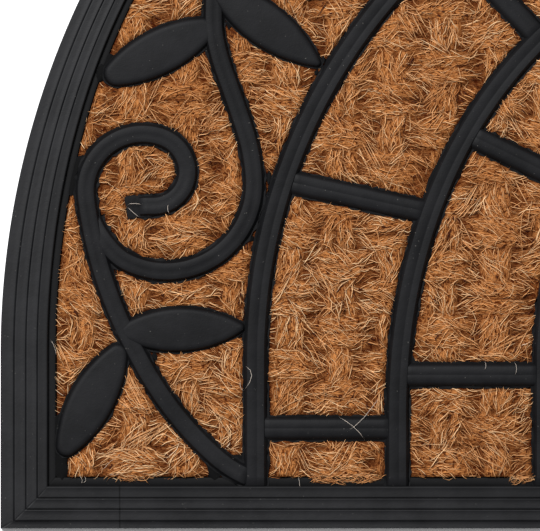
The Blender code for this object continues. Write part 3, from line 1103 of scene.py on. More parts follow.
@dataclass(frozen=True)
class Weave:
    """Basket weave: pairs of weft yarns cross groups of warp strands, over and under.

    The place of a crossing in its row and column says which of the two is on top.  A yarn
    is plump where it is on top and pinched where it dives.
    """

    warp_pitch: float = 23.03 * MM
    weft_pitch: float = 14.66 * MM
    origin_x: float = 6.1 * MM
    origin_y: float = -5.7 * MM
    weft_yarns: int = 2
    warp_strands: int = 3
    warp_spacing: float = 3.9 * MM
    weft_half_width: float = 4.2 * MM
    warp_half_width: float = 2.4 * MM
    pinch: float = 0.26
    middle: float = 5.25 * MM
    swing: float = 0.85 * MM
    flatness: float = 1.4
    half_height: float = 1.75 * MM
    # The warp falls away beside its strands: how deep, and over which shares of half a width.
    warp_gap: float = 3.0 * MM
    warp_gap_run: Pair = (1.0, 1.5)
    wander: float = 1.15 * MM
    # Two slow sines make a yarn's sway: share of the wander, length, and the pace and the
    # spread of another sine that gives each yarn a phase of its own.
    sways: tuple[tuple[float, ...], ...] = (
        (0.7, 13.0 * MM, 12.9898, 43758.5453), (0.5, 5.7 * MM, 78.233, 24634.6345))
    warp_seed: float = 400.0

    def sway(self, number: Array, place: Array) -> Array:
        """How far a yarn strays sideways: two slow sines with the yarn's own phases."""
        return self.wander * sum(share * np.sin(place / length + np.sin(number * pace) * spread)
                                 for share, length, pace, spread in self.sways)

    def line(self, lie: Lie, number: Array, place: Array) -> tuple[Array, ...]:
        """Middle line of yarns.

        The height is a flattened cosine of the place along the yarn, with its phase turned
        over from one row or column to the next.

        Args:
            lie: Weft or warp.
            number: Each yarn's number, counted from the origin.
            place: x along a weft yarn, y along a warp strand.

        Returns:
            Sideways place, height and half width.
        """
        if lie is Lie.WEFT:
            group = np.floor_divide(number, self.weft_yarns)
            spacing = self.weft_pitch / self.weft_yarns
            side = self.origin_y + (number + 0.5 - self.weft_yarns / 2) * spacing
            phase = np.pi * ((place - self.origin_x) / self.warp_pitch + group)
            sign, half_width, seed = -1.0, self.weft_half_width, 0.0
        else:
            group = np.floor_divide(number, self.warp_strands)
            strand = number - group * self.warp_strands - (self.warp_strands - 1) / 2
            side = self.origin_x + group * self.warp_pitch + strand * self.warp_spacing
            phase = np.pi * ((place - self.origin_y) / self.weft_pitch + group)
            sign, half_width, seed = 1.0, self.warp_half_width, self.warp_seed
        rise = sign * np.sin(np.pi / 2 * np.clip(self.flatness * np.cos(phase), -1.0, 1.0))
        plump = 1.0 - self.pinch * (0.5 - 0.5 * rise)
        return (side + self.sway(number + seed, place), self.middle + self.swing * rise,
                half_width * plump)

    def nearest(self, lie: Lie, x: Array, y: Array) -> Array:
        """The weft yarn or warp strand nearest to points of the plan.

        Args:
            lie: Weft or warp.
            x, y: Of the points.

        Returns:
            Its number, counted from the origin.
        """
        if lie is Lie.WEFT:
            spacing = self.weft_pitch / self.weft_yarns
            return np.round((y - self.origin_y) / spacing - 0.5 + self.weft_yarns / 2)
        column = np.round((x - self.origin_x) / self.warp_pitch)
        off = x - self.origin_x - column * self.warp_pitch
        reach = (self.warp_strands - 1) / 2
        strand = np.clip(np.round(off / self.warp_spacing), -reach, reach)
        return column * self.warp_strands + strand + reach

    def top(self, lie: Lie, x: Array, y: Array) -> Array:
        """Height of the top of the weft or the warp.

        Args:
            lie: Weft or warp.
            x, y: Of the points.

        Returns:
            Half an ellipse over each yarn; beside its strands the warp falls away.
        """
        along, off = (x, y) if lie is Lie.WEFT else (y, x)
        side, height, half_width = self.line(lie, self.nearest(lie, x, y), along)
        share = np.abs(off - side) / half_width
        bulge = np.sqrt(1.0 - np.clip(share, 0.0, 1.0) ** 2)
        gap = self.warp_gap * smooth_step(*self.warp_gap_run, share) if lie is Lie.WARP else 0.0
        return height + self.half_height * bulge - gap

    def surface(self, x: Array, y: Array) -> Array:
        """Height of the weave: the higher of weft and warp."""
        return np.maximum(self.top(Lie.WEFT, x, y), self.top(Lie.WARP, x, y))


@dataclass(frozen=True)
class LaidLook:
    """Fibres that follow the yarns.  A size that isn't written with MM is in millimetres."""

    # Least distance from the rubber's feet, and how much higher than the other yarn theirs
    # must be: mean and spread of the limit.
    clear: float = -0.2 * MM
    lead: Pair = (-0.25 * MM, 0.3 * MM)
    length: Pair = (4.5, 11.0)
    # Close to the border a fibre reaches twice its room, but at least this, and overlaps.
    least_room: float = 0.6 * MM
    overlap: float = 1.2 * MM
    # Turn round the yarn in radians a millimetre: mean on weft and on warp, and spread.
    weft_turn: float = -0.05
    warp_turn: float = 0.04
    turn_spread: float = 0.05
    # Place across the yarn as a share of half its width, and angle from its top, at most.
    across_limit: float = 0.97
    angle_limit: float = 1.3
    # Lean in radians, of a fibre and of its points, at most, and bend in radians a metre.
    fibre_lean: float = 0.13
    point_lean: float = 0.18
    lean_limit: float = 1.1
    bend: float = 60.0
    # Shape and scale of the lift's gamma, spread of its points, and the radius's gamma.
    lift: Pair = (1.3, 0.2)
    lift_spread: float = 0.14
    radius: Pair = (7.0, 0.0195)
    radius_limits: Pair = (0.08, 0.26)
    tone: float = 0.62
    tone_spread: float = 0.17
    patch_tone: float = 0.08
    # Seams between yarns: from which share of half a width on, and how much painted shade
    # darkens them.
    seam_from: float = 0.66
    seam_dark: float = 0.4
    # Two plies make a weft yarn: how fast they turn round it, the step from one yarn to the
    # next, how wide the groove between them is, how much painted shade darkens it, and how deep.
    ply_turn: float = 0.10 / MM
    ply_step: float = 2.4
    ply_width: float = 0.34
    ply_painted_shade: float = 0.35
    ply_sink: float = 0.3
    # Painted shade in seams and grooves darkens a fibre by a random share of its own.
    painted_shade_shares: Pair = (0.3, 1.0)
    # Hollows where seams gape, dark with painted shade: size, share of them in the grooves, how
    # much painted shade darkens them, and by which share fibres in them are shorter and lie lower.
    hollow_size: float = 3.4 * MM
    hollow_ply: float = 0.7
    hollow_painted_shade: float = 1.2
    hollow_shorter: float = 0.6
    hollow_lower: float = 0.7
    # Paler towards the corners: |x| and y of the middle, how far it spreads, and the added tone.
    paler_at: Pair = (322.0 * MM, -204.0 * MM)
    paler_spread: float = 34.0 * MM
    paler_tone: float = 0.30
    # Pits between the fibres: short, thick fibres dark with painted shade, put where only shadow
    # lies; their share of all fibres, length, lift, radius and tone.
    pit_share: float = 0.03
    pit_shrink: float = 0.2
    pit_lift: float = 0.15 * MM
    pit_radius: Pair = (0.18, 0.32)
    pit_painted_shade_tone: float = -0.45


@dataclass(frozen=True)
class Strands:
    """Fibres: paths as fibre, point and x, y, z, and a radius and a tone each."""

    paths: Array
    radius: Array
    tone: Array

    def chosen(self, which: Array) -> Strands:
        """Some of them, by their numbers or by a mask."""
        return Strands(self.paths[which], self.radius[which], self.tone[which])

    def build(self, name: str, material: Material) -> Object:
        """Three-sided fibres along the paths, drawn to a point at both ends.

        Args:
            name: Name of the piece.
            material: The fibres' own.

        Returns:
            All of them as one piece: each keeps its ends, and its other points get three
            corners, a third of a turn apart round the path.
        """
        paths = self.paths
        count, points = paths.shape[:2]
        along = np.gradient(paths, axis=1)
        along /= np.linalg.norm(along, axis=2, keepdims=True)
        side = np.stack([-along[..., 1], along[..., 0], np.zeros((count, points))], axis=-1)
        side /= np.linalg.norm(side, axis=2, keepdims=True)
        up = np.cross(along, side)
        size = self.radius[:, None, None]
        ring = np.stack([paths + size * (np.cos(a) * side + np.sin(a) * up)
                         for a in np.radians([90.0, 210.0, 330.0])], axis=2)[:, 1:-1]
        solid = np.concatenate([ring.reshape(count, -1, 3), paths[:, :1], paths[:, -1:]], axis=1)
        rings = points - 2
        start_tip, end_tip = rings * 3, rings * 3 + 1
        base = np.arange(count)[:, None, None] * (end_tip + 1)
        quads = (base + tube_faces(rings, 3)[None]).reshape(-1, 4)
        first = np.arange(3)
        last = first + (rings - 1) * 3
        start = np.stack([np.roll(first, -1), first, np.full(3, start_tip)], axis=1)
        end = np.stack([last, np.roll(last, -1), np.full(3, end_tip)], axis=1)
        tips = (base + np.concatenate([start, end])[None]).reshape(-1, 3)
        maker = MeshMaker()
        maker.add(solid.reshape(-1, 3), quads, tips, tone=np.repeat(self.tone, end_tip + 1))
        return maker.build(name, material, ALL_SMOOTH_DEG)


def centred(path: Array, middle: Array) -> Array:
    """Paths' x or y, shifted so that each has its mean at its fibre's middle."""
    return path + (middle[:, None] - path.mean(axis=1, keepdims=True))


@dataclass(frozen=True, kw_only=True)
class FibreLook:
    """A kind of fibre: its radius from and to in millimetres, its tone's mean and spread."""

    radius: Pair = (0.08, 0.17)
    tone: float
    tone_spread: float = 0.2

    def strands(self, rng: np.random.Generator, *axes: Array) -> Strands:
        """Fibres along paths, given by x, y and z, with a random radius and tone each."""
        paths = np.stack(axes, axis=-1)
        return Strands(paths, rng.uniform(*self.radius, len(paths)) * MM,
                       rng.normal(self.tone, self.tone_spread, len(paths)))


@dataclass(frozen=True, kw_only=True)
class LooseLook(FibreLook):
    """Fibres that lie over the weave any way round."""

    # Mean length, bend in radians a metre, and mean lift over the weave.
    length: float
    curve: float
    lift: float
    # Shapes of the gammas of length and lift, limits of the length as shares of its mean, and
    # spread of the direction at a point.
    length_shape: float = 4.0
    lift_shape: float = 2.0
    length_limits: Pair = (0.5, 2.6)
    jitter: float = 0.14
    # Distance from the rubber's feet, and how far under a foot a point is pressed down.
    clear: float = 0.4 * MM
    buried: float = -1.2 * MM


TANGLE = LooseLook(length=7.0 * MM, curve=190.0, lift=0.10 * MM, tone=0.46)
STRAYS = LooseLook(length=15.0 * MM, curve=75.0, lift=0.30 * MM, tone=0.56)


@dataclass(frozen=True, kw_only=True)
class SpillLook(FibreLook):
    """Fibres heaped on the ledge."""

    tone: float = 0.42
    # Stretches of the straight edge: |x| from and to, and how far the heap reaches over the
    # ledge at the middle of the stretch.
    stretches: tuple[Triple, ...] = (
        (0.2085, 0.2370, 3.0 * MM), (0.1390, 0.1480, 2.4 * MM), (0.3090, 0.3240, 1.2 * MM))
    density: float = 1.75e6
    # Middles lie from inside the edge to out over the ledge, in shares of the reach.
    middles: Pair = (-1.0, 0.5)
    length_shape: float = 6.0
    length_limits_mm: Pair = (3.0, 11.0)
    heading_spread: float = 0.5
    curve: float = 160.0
    jitter: float = 0.15
    # The heap's height at the edge, how far out it ends, its height there, the shares of it
    # at which fibres lie, and the farthest that one may reach.
    heap: float = 1.9 * MM
    falls_over: float = 3.6 * MM
    thinnest: float = 0.2 * MM
    heap_shares: Pair = (0.2, 1.0)
    farthest: float = 3.9 * MM


@dataclass(frozen=True, kw_only=True)
class HairLook(FibreLook):
    """Single hairs that have come to lie across the rubber."""

    radius: Pair = (0.09, 0.12)
    tone: float = 1.5
    tone_spread: float = 0.08
    # Three points each, in millimetres.
    points: tuple[Pairs, ...] = (
        ((-225.6, -174.8), (-218.2, -179.6), (-212.7, -185.9)),
        ((-205.0, -164.1), (-213.5, -175.5), (-221.1, -181.8)),
        ((-242.6, -202.0), (-242.0, -206.0), (-242.5, -210.0)),
        ((-266.2, -152.6), (-263.3, -157.0), (-266.9, -163.8)),
        ((-266.9, -163.8), (-268.3, -162.0), (-268.4, -158.8)),
        ((-160.0, -150.5), (-159.4, -152.6), (-160.2, -154.6)),
        ((-146.8, -150.7), (-145.8, -153.8), (-146.6, -156.9)),
        ((-352.6, -141.0), (-350.8, -144.6), (-350.2, -148.0)),
        ((-318.6, -82.0), (-315.8, -84.6), (-312.6, -87.2)),
        ((-318.4, -80.9), (-315.4, -80.6), (-311.6, -81.0)),
        ((-300.2, -80.8), (-300.6, -83.2), (-299.6, -85.4)),
        ((-339.8, -201.2), (-338.6, -203.4), (-339.2, -205.2)),
        ((-337.6, -201.6), (-337.0, -203.6), (-338.4, -204.6)))
    # Height on a rib, from how far inside its foot on, and lift over the weave and the ledge.
    on_rib: float = 8.75 * MM
    rib_from: float = -0.4 * MM
    over_weave: float = 0.5 * MM
    over_ledge: float = 0.4 * MM


@dataclass(frozen=True)
class Roots:
    """The middles of laid fibres, one value of each a fibre.

    x and y, the place along the yarn, the yarn's number, the angle round it from its top, and
    how far each lies in a seam between yarns, a groove between plies and a hollow, 0 to 1.
    """

    x: Array
    y: Array
    along: Array
    yarn: Array
    angle: Array
    seam: Array
    ply: Array
    hollow: Array


@dataclass
class Coir:
    """The woven coir mat and its loose fibres."""

    plan: TraceryPlan
    feet: FootField
    weave: Weave
    laid: LaidLook = LaidLook()
    spill: SpillLook = SpillLook()
    hair: HairLook = HairLook()
    # The body's grid.  A cell stays if no corner lies farther than near_cells outside the
    # outline and one lies inner_cells inside it.  The body lies a little under the yarns'
    # tops, its streaks change from weft to warp over twice the blend, and painted shade darkens
    # it from the first height down to the second.
    sheet_cell: float = 2.2 * MM
    near_cells: float = 1.45
    inner_cells: float = 0.1
    body_sink: float = 0.35 * MM
    lie_blend: float = 0.4 * MM
    painted_shade_heights: Pair = (8.0 * MM, 5.4 * MM)
    # Height under the rubber, and the distances from its foot over which the coir rises.
    pressed: float = 4.6 * MM
    press_run: Pair = (-0.9 * MM, 1.3 * MM)
    edge_gap: float = 0.3 * MM
    overhang: float = 0.8 * MM
    fibre_points: int = 5
    laid_count: int = 71100
    tangle_count: int = 12000
    stray_count: int = 2000
    seed_jitter: float = 0.5 * MM
    # Locks are fibres that lean together, by this angle in radians; patches are paler or
    # darker and twice their size.
    lock_size: float = 2.5 * MM
    lock_turn: float = 0.46
    pieces: int = 4
    rng: np.random.Generator = field(default_factory=lambda: np.random.default_rng(4))

    def __post_init__(self) -> None:
        """Lay out the locks, the patches and the hollows."""
        self.locks = Drift(self.plan.outline, self.lock_size, 21)
        self.patches = Drift(self.plan.outline, 2.0 * self.lock_size, 22)
        self.hollows = Drift(self.plan.outline, self.laid.hollow_size, 23)

    @property
    def shares(self) -> Array:
        """Places of a fibre's points along it, from its middle, as a row."""
        return np.linspace(-0.5, 0.5, self.fibre_points)[None, :]

    def press(self, x: Array, y: Array, height: Array) -> Array:
        """Lower heights where the rubber presses on the coir."""
        free = smooth_step(*self.press_run, self.feet.at(x, y))
        return self.pressed + (height - self.pressed) * free

    def sheet_grid(self) -> tuple[Array, Array, Array]:
        """A square grid cut to the tray's outline.

        Points a little outside are pulled in: straight towards X = 0 beside the straight
        sides, and towards the half circle's centre above them.

        Returns:
            x and y of the grid's points, and the corners of the cells that are kept.
        """
        outline, cell = self.plan.outline, self.sheet_cell
        inset = self.plan.border.tray_inset + self.edge_gap
        low_y, reach = outline.low_y(inset), outline.radius - inset
        high_y = outline.centre_y + reach * outline.squash
        across, up = math.ceil(reach / cell), math.ceil((high_y - low_y) / cell)
        x, y = np.meshgrid(np.arange(-across, across + 1) * cell, low_y + np.arange(up + 1) * cell)
        inward = outline.inset_at(x, y) - inset
        kept = cell_corners(inward > -self.near_cells * cell).all(axis=-1)
        kept &= cell_corners(inward > self.inner_cells * cell).any(axis=-1)
        x = np.clip(x, -reach, reach)
        above = np.maximum(y - outline.centre_y, 0.0)
        limit = outline.radius - inset * outline.share(np.arctan2(above, np.abs(x)))
        span = np.maximum(np.hypot(x, above / outline.squash), 1e-9)
        pull = np.where(above > 0.0, np.minimum(1.0, limit / span), 1.0)
        y = np.where(above > 0.0, outline.centre_y + above * pull, y)
        return x * pull, y, cell_corners(np.arange(x.size).reshape(x.shape))[kept]

    def sheet(self, material: Material) -> Object:
        """The woven body: a grid lifted to the weave's height, with a rim and a flat back.

        Args:
            material: The coir's body.

        Returns:
            A closed, thin piece cut to the tray's outline.
        """
        x, y, quads = self.sheet_grid()
        used, renumbered = np.unique(quads, return_inverse=True)
        quads = renumbered.reshape(quads.shape)
        x, y = x.ravel()[used], y.ravel()[used]
        weft, warp = self.weave.top(Lie.WEFT, x, y), self.weave.top(Lie.WARP, x, y)
        height = self.press(x, y, np.maximum(weft, warp) - self.body_sink)
        points = np.stack([x, y, height], axis=1)
        back = points.copy()
        back[:, 2] = self.plan.border.backing + self.edge_gap
        rim = self.rim_edges(quads)
        skirt = np.concatenate([rim[:, ::-1], rim + len(points)], axis=1)
        lie = smooth_step(-self.lie_blend, self.lie_blend, warp - weft)
        # Painted shade of the low places, carried to the body's shader as its depth.
        depth = smooth_step(*self.painted_shade_heights, height)
        maker = MeshMaker()
        maker.add(np.concatenate([points, back]), quads, skirt,
                  self.loop_of(rim)[None, ::-1] + len(points),
                  lie=np.tile(lie, 2), depth=np.tile(depth, 2))
        return maker.build("coir_weave", material, ALL_SMOOTH_DEG)

    @staticmethod
    def rim_edges(quads: Array) -> Array:
        """Edges that only one quad has.

        Args:
            quads: Four corners a row.

        Returns:
            Two corners a row, in the direction of their quad.
        """
        edges = np.concatenate([quads[:, [i, (i + 1) % 4]] for i in range(4)])
        keys = np.sort(edges, axis=1)
        _, first, uses = np.unique(keys, axis=0, return_index=True, return_counts=True)
        return edges[first[uses == 1]]

    @staticmethod
    def loop_of(rim: Array) -> Array:
        """The rim's points in order, by following each edge to the next.

        Args:
            rim: Two corners a row.

        Returns:
            Corner numbers, all the way round.
        """
        following = dict(rim.tolist())
        loop = [int(rim[0, 0])]
        while following[loop[-1]] != loop[0]:
            loop.append(following[loop[-1]])
        return np.array(loop)

    def kept(self, strands: Strands) -> Strands:
        """The fibres that stay inside the border, but for a short overhang on the ledge.

        Args:
            strands: The fibres.

        Returns:
            Those kept, with every point over the ledge lying on it or above.
        """
        paths = strands.paths
        over = -self.plan.room(paths[..., 0], paths[..., 1])
        rest = self.plan.border.ledge_top + strands.radius[:, None]
        lifted = np.where(over > 0.0, np.maximum(paths[..., 2], rest), paths[..., 2])
        paths = np.concatenate([paths[..., :2], lifted[..., None]], axis=-1)
        inside = (over < self.overhang).all(axis=1)
        return Strands(paths, strands.radius, strands.tone).chosen(inside)

    def seeds(self, count: int, clear: float) -> Array:
        """Even but irregular points of the coir that the rubber leaves free.

        Args:
            count: How many points there would be on the whole rectangle of the mat.
            clear: Least distance from the rubber's feet.

        Returns:
            x, y a row: multiples of two irrational steps, wrapped round, then jittered.
        """
        outline = self.plan.outline
        wrapped = (np.arange(count)[:, None] * np.array([0.7548776662, 0.5698402910])) % 1.0
        points = (wrapped - 0.5) * [outline.width, outline.depth]
        points += self.rng.normal(0.0, self.seed_jitter, points.shape)
        return points[self.feet.at(points[:, 0], points[:, 1]) > clear]

    def roots(self, lie: Lie) -> Roots:
        """Where laid fibres start from.

        A seam lies at the sides of a yarn.  The groove between two plies is where the sine of
        an angle that turns with the place along the yarn is small.  A hollow is where a seam
        or groove meets a slow random drift.

        Args:
            lie: Weft or warp.

        Returns:
            The middles of those that aren't under the rubber or another yarn.
        """
        weave, look = self.weave, self.laid
        points = self.seeds(self.laid_count, look.clear)
        lead = weave.top(Lie.WEFT, *points.T) - weave.top(Lie.WARP, *points.T)
        if lie is Lie.WARP:
            lead = -lead
        x, y = points[lead > self.rng.normal(*look.lead, len(points))].T
        along, off = (x, y) if lie is Lie.WEFT else (y, x)
        yarn = weave.nearest(lie, x, y)
        middle, _, half_width = weave.line(lie, yarn, along)
        across = (off - middle) / half_width
        angle = np.arcsin(np.clip(across, -look.across_limit, look.across_limit))
        seam = smooth_step(look.seam_from, 1.0, np.abs(across))
        ply = np.abs(np.sin(angle - look.ply_turn * along + look.ply_step * yarn))
        ply = smooth_step(look.ply_width, 0.0, ply) if lie is Lie.WEFT else 0.0 * ply
        drift = smooth_step(0.0, 1.0, self.hollows.at(x, y))
        hollow = drift * np.maximum(seam, look.hollow_ply * ply)
        return Roots(x, y, along, yarn, angle, seam, ply, hollow)

    def laid_strands(self, lie: Lie) -> Strands:
        """Fibres that follow the yarns.

        A fibre keeps its share of its yarn's width, so it closes in where the yarn is
        pinched, and its angle round the yarn turns evenly.  On top of that it leans with its
        lock, by the running sum of the lock's slope, and has a bend of its own.  It is
        shorter in a hollow and near the border.  A few shrink to thick pits of painted shade.

        Args:
            lie: Weft or warp.

        Returns:
            Those in sight.
        """
        weave, look, rng = self.weave, self.laid, self.rng
        root = self.roots(lie)
        count = len(root.x)
        home, hollow, ply = root.along[:, None], root.hollow[:, None], root.ply[:, None]
        length = rng.uniform(*look.length, (count, 1)) * (1.0 - look.hollow_shorter * hollow) * MM
        room = np.maximum(self.plan.room(root.x, root.y), look.least_room)
        length = np.minimum(length, (2.0 * room + look.overlap)[:, None])
        off = self.shares * length
        along = home + off
        turn = look.weft_turn if lie is Lie.WEFT else look.warp_turn
        turn = rng.normal(turn, look.turn_spread, (count, 1)) / MM
        angle = root.angle[:, None] + turn * (along - home)
        angle = np.clip(angle, -look.angle_limit, look.angle_limit)
        middle, height, half_width = weave.line(lie, root.yarn[:, None], along)
        lean = self.locks.at(root.x, root.y)[:, None] * self.lock_turn
        lean = lean + rng.normal(0.0, look.fibre_lean, (count, 1))
        lean = lean + rng.normal(0.0, look.point_lean, along.shape)
        lean = lean + rng.normal(0.0, look.bend, (count, 1)) * off
        slope = np.tan(np.clip(lean, -look.lean_limit, look.lean_limit))
        waver = np.cumsum(slope * (length / (self.fibre_points - 1)), axis=1)
        side = middle + half_width * np.sin(angle) + waver - waver.mean(axis=1, keepdims=True)
        lift = rng.gamma(*look.lift, (count, 1)) * MM
        lift = lift + rng.normal(0.0, look.lift_spread * MM, along.shape)
        lift = lift * (1.0 - look.hollow_lower * hollow) - look.ply_sink * MM * ply
        path_x, path_y = (along, side) if lie is Lie.WEFT else (side, along)
        path_z = self.press(path_x, path_y, height + weave.half_height * np.cos(angle) + lift)
        paths = np.stack([path_x, path_y, path_z], axis=-1)
        radius = np.clip(rng.gamma(*look.radius, count), *look.radius_limits) * MM
        tone = self.laid_tones(root)
        # Pits: a few fibres shrink to thick, dark blobs of painted shade.
        pit = rng.uniform(0.0, 1.0, count) < look.pit_share
        centre = paths[pit, self.fibre_points // 2, None]
        paths[pit] = centre + (paths[pit] - centre) * look.pit_shrink + [0.0, 0.0, look.pit_lift]
        radius[pit] = rng.uniform(*look.pit_radius, pit.sum()) * MM
        tone[pit] = look.pit_painted_shade_tone
        return self.kept(Strands(paths, radius, tone))

    def laid_tones(self, root: Roots) -> Array:
        """Tones of laid fibres: paler in patches and towards the corners, painted shade in the
        gaps.

        Args:
            root: Their middles.

        Returns:
            One tone a fibre.  It is paler near a corner by a bell curve of the distance to it.
        """
        look, rng, count = self.laid, self.rng, len(root.x)
        tone = rng.normal(look.tone, look.tone_spread, count)
        tone = tone + look.patch_tone * self.patches.at(root.x, root.y)
        # Painted shade: fibres in seams, ply grooves and hollows darker.
        tone -= look.seam_dark * root.seam * rng.uniform(*look.painted_shade_shares, count)
        grooved = look.ply_painted_shade * root.ply * rng.uniform(*look.painted_shade_shares, count)
        tone -= grooved + look.hollow_painted_shade * root.hollow
        away = np.hypot(np.abs(root.x) - look.paler_at[0], root.y - look.paler_at[1])
        return tone + look.paler_tone * np.exp(-0.5 * (away / look.paler_spread) ** 2)

    def arcs(self, length: Array, heading: Array,
             look: LooseLook | SpillLook) -> tuple[Array, Array]:
        """Wavering arcs from the origin: the running sum of an evenly turning direction.

        Args:
            length: One a fibre, as a column.
            heading: Direction at the middle, likewise.
            look: How much they bend, and how far the direction strays at each point.

        Returns:
            x and y, a fibre a row.
        """
        curve = self.rng.normal(0.0, look.curve, length.shape)
        angle = heading + curve * self.shares * length
        angle = angle + self.rng.normal(0.0, look.jitter, angle.shape)
        stride = length / (self.fibre_points - 1)
        return np.cumsum(np.cos(angle) * stride, axis=1), np.cumsum(np.sin(angle) * stride, axis=1)

    def loose_strands(self, count: int, look: LooseLook) -> Strands:
        """Wavering arcs over the weave.

        Args:
            count: How many to try on the whole rectangle; those out of sight are dropped.
            look: Their size, bend and tone.

        Returns:
            Those in sight, each lifted most at its middle.
        """
        rng = self.rng
        x, y = self.seeds(count, look.clear).T
        count = len(x)
        length = rng.gamma(look.length_shape, look.length / look.length_shape, (count, 1))
        length = length.clip(*(limit * look.length for limit in look.length_limits))
        heading = rng.uniform(0.0, np.pi, (count, 1))
        path_x, path_y = self.arcs(length, heading, look)
        path_x, path_y = centred(path_x, x), centred(path_y, y)
        over = rng.gamma(look.lift_shape, look.lift / look.lift_shape, (count, 1))
        hump = (1.0 - 4.0 * self.shares ** 2) * rng.uniform(0.0, 2.0 * look.lift, (count, 1))
        path_z = self.press(path_x, path_y, self.weave.surface(path_x, path_y)) + over + hump
        path_z = np.where(self.feet.at(path_x, path_y) < look.buried, self.pressed, path_z)
        return self.kept(look.strands(rng, path_x, path_y, path_z))

    def spill_strands(self) -> Strands:
        """Wavering arcs heaped on the ledge along a few stretches of the straight edge.

        They lie thickest at the middle of a stretch, and the heap falls off outwards.

        Returns:
            Those of both sides.
        """
        look, rng = self.spill, self.rng
        edge = self.plan.outline.low_y(self.plan.border.tray_inset)
        parts = []
        for low, high, reach in look.stretches:
            count = round((high - low) * reach * look.density)
            middle, half = (low + high) / 2, (high - low) / 2
            x = middle + half * rng.uniform(-1.0, 1.0, count)
            depth = reach * np.sqrt(np.maximum(1.0 - ((x - middle) / half) ** 2, 0.0))
            y = edge + rng.uniform(*look.middles, count) * depth
            parts += [(x, y), (-x, y)]
        x, y = np.concatenate(parts, axis=1)
        count = len(x)
        length = rng.gamma(look.length_shape, 1.0, (count, 1)).clip(*look.length_limits_mm) * MM
        heading = rng.normal(0.0, look.heading_spread, (count, 1))
        path_x, path_y = self.arcs(length, heading, look)
        path_x, path_y = x[:, None] + path_x - 0.5 * length, centred(path_y, y)
        thick = look.heap * (1.0 - smooth_step(edge, edge - look.falls_over, path_y))
        heap = rng.uniform(*look.heap_shares, (count, 1)) * (thick + look.thinnest)
        strands = look.strands(rng, path_x, path_y, self.plan.border.ledge_top + heap)
        return strands.chosen(path_y.min(axis=1) > edge - look.farthest)

    def hair_strands(self) -> Strands:
        """Single hairs across the rubber.

        Returns:
            Each the parabola through its three points, raised to what lies under it.
        """
        look = self.hair
        share = np.linspace(0.0, 1.0, self.fibre_points)[:, None]
        weights = np.concatenate([(1 - share) * (1 - 2 * share), 4 * share * (1 - share),
                                  share * (2 * share - 1)], axis=1)
        plan = np.einsum("pk,hkc->hpc", weights, np.array(look.points) * MM)
        x, y = plan[..., 0], plan[..., 1]
        height = self.weave.surface(x, y) + look.over_weave
        height = np.where(self.feet.at(x, y) < look.rib_from, look.on_rib, height)
        on_ledge = self.plan.border.ledge_top + look.over_ledge
        height = np.where(self.plan.room(x, y) < 0.0, on_ledge, height)
        return look.strands(self.rng, x, y, height)

    def fibres(self, material: Material) -> list[Object]:
        """All loose fibres, in pieces of even size.

        Args:
            material: The fibres' own.

        Returns:
            The pieces.
        """
        groups = [self.laid_strands(Lie.WEFT), self.laid_strands(Lie.WARP),
                  self.loose_strands(self.tangle_count, TANGLE),
                  self.loose_strands(self.stray_count, STRAYS),
                  self.spill_strands(), self.hair_strands()]
        LOG.info("fibres: %s", [len(group.tone) for group in groups])
        strands = Strands(*(np.concatenate([getattr(group, part) for group in groups])
                            for part in ("paths", "radius", "tone")))
        shares = np.array_split(np.arange(len(strands.tone)), self.pieces)
        return [strands.chosen(share).build(f"coir_fibres_{number}", material)
                for number, share in enumerate(shares, 1)]


class Socket:
    """Wraps a shader socket, so that node maths is written as Python expressions."""

    def __init__(self, graph: Graph, socket: bpy.types.NodeSocket) -> None:
        """Keep the graph and the socket."""
        self.graph = graph
        self.socket = socket

    def maths(self, operation: str, *values: Socket | float) -> Socket:
        """A Math node on this socket and others."""
        inputs = dict(enumerate((self, *values)))
        return self.graph.node("ShaderNodeMath", {"operation": operation}, inputs)

    def __add__(self, other: Socket | float) -> Socket:
        """Sum."""
        return self.maths("ADD", other)

    def __mul__(self, other: Socket | float) -> Socket:
        """Product."""
        return self.maths("MULTIPLY", other)

    def __sub__(self, other: Socket | float) -> Socket:
        """Difference."""
        return self.maths("SUBTRACT", other)

    def __rsub__(self, other: float) -> Socket:
        """Difference from a number."""
        return self * -1.0 + other

    __radd__ = __add__
    __rmul__ = __mul__

    def step(self, low: float, high: float) -> Socket:
        """Smooth rise from 0 at low to 1 at high."""
        settings = {"interpolation_type": "SMOOTHSTEP"}
        return self.graph.node("ShaderNodeMapRange", settings,
                               {"Value": self, "From Min": low, "From Max": high}, "Result")


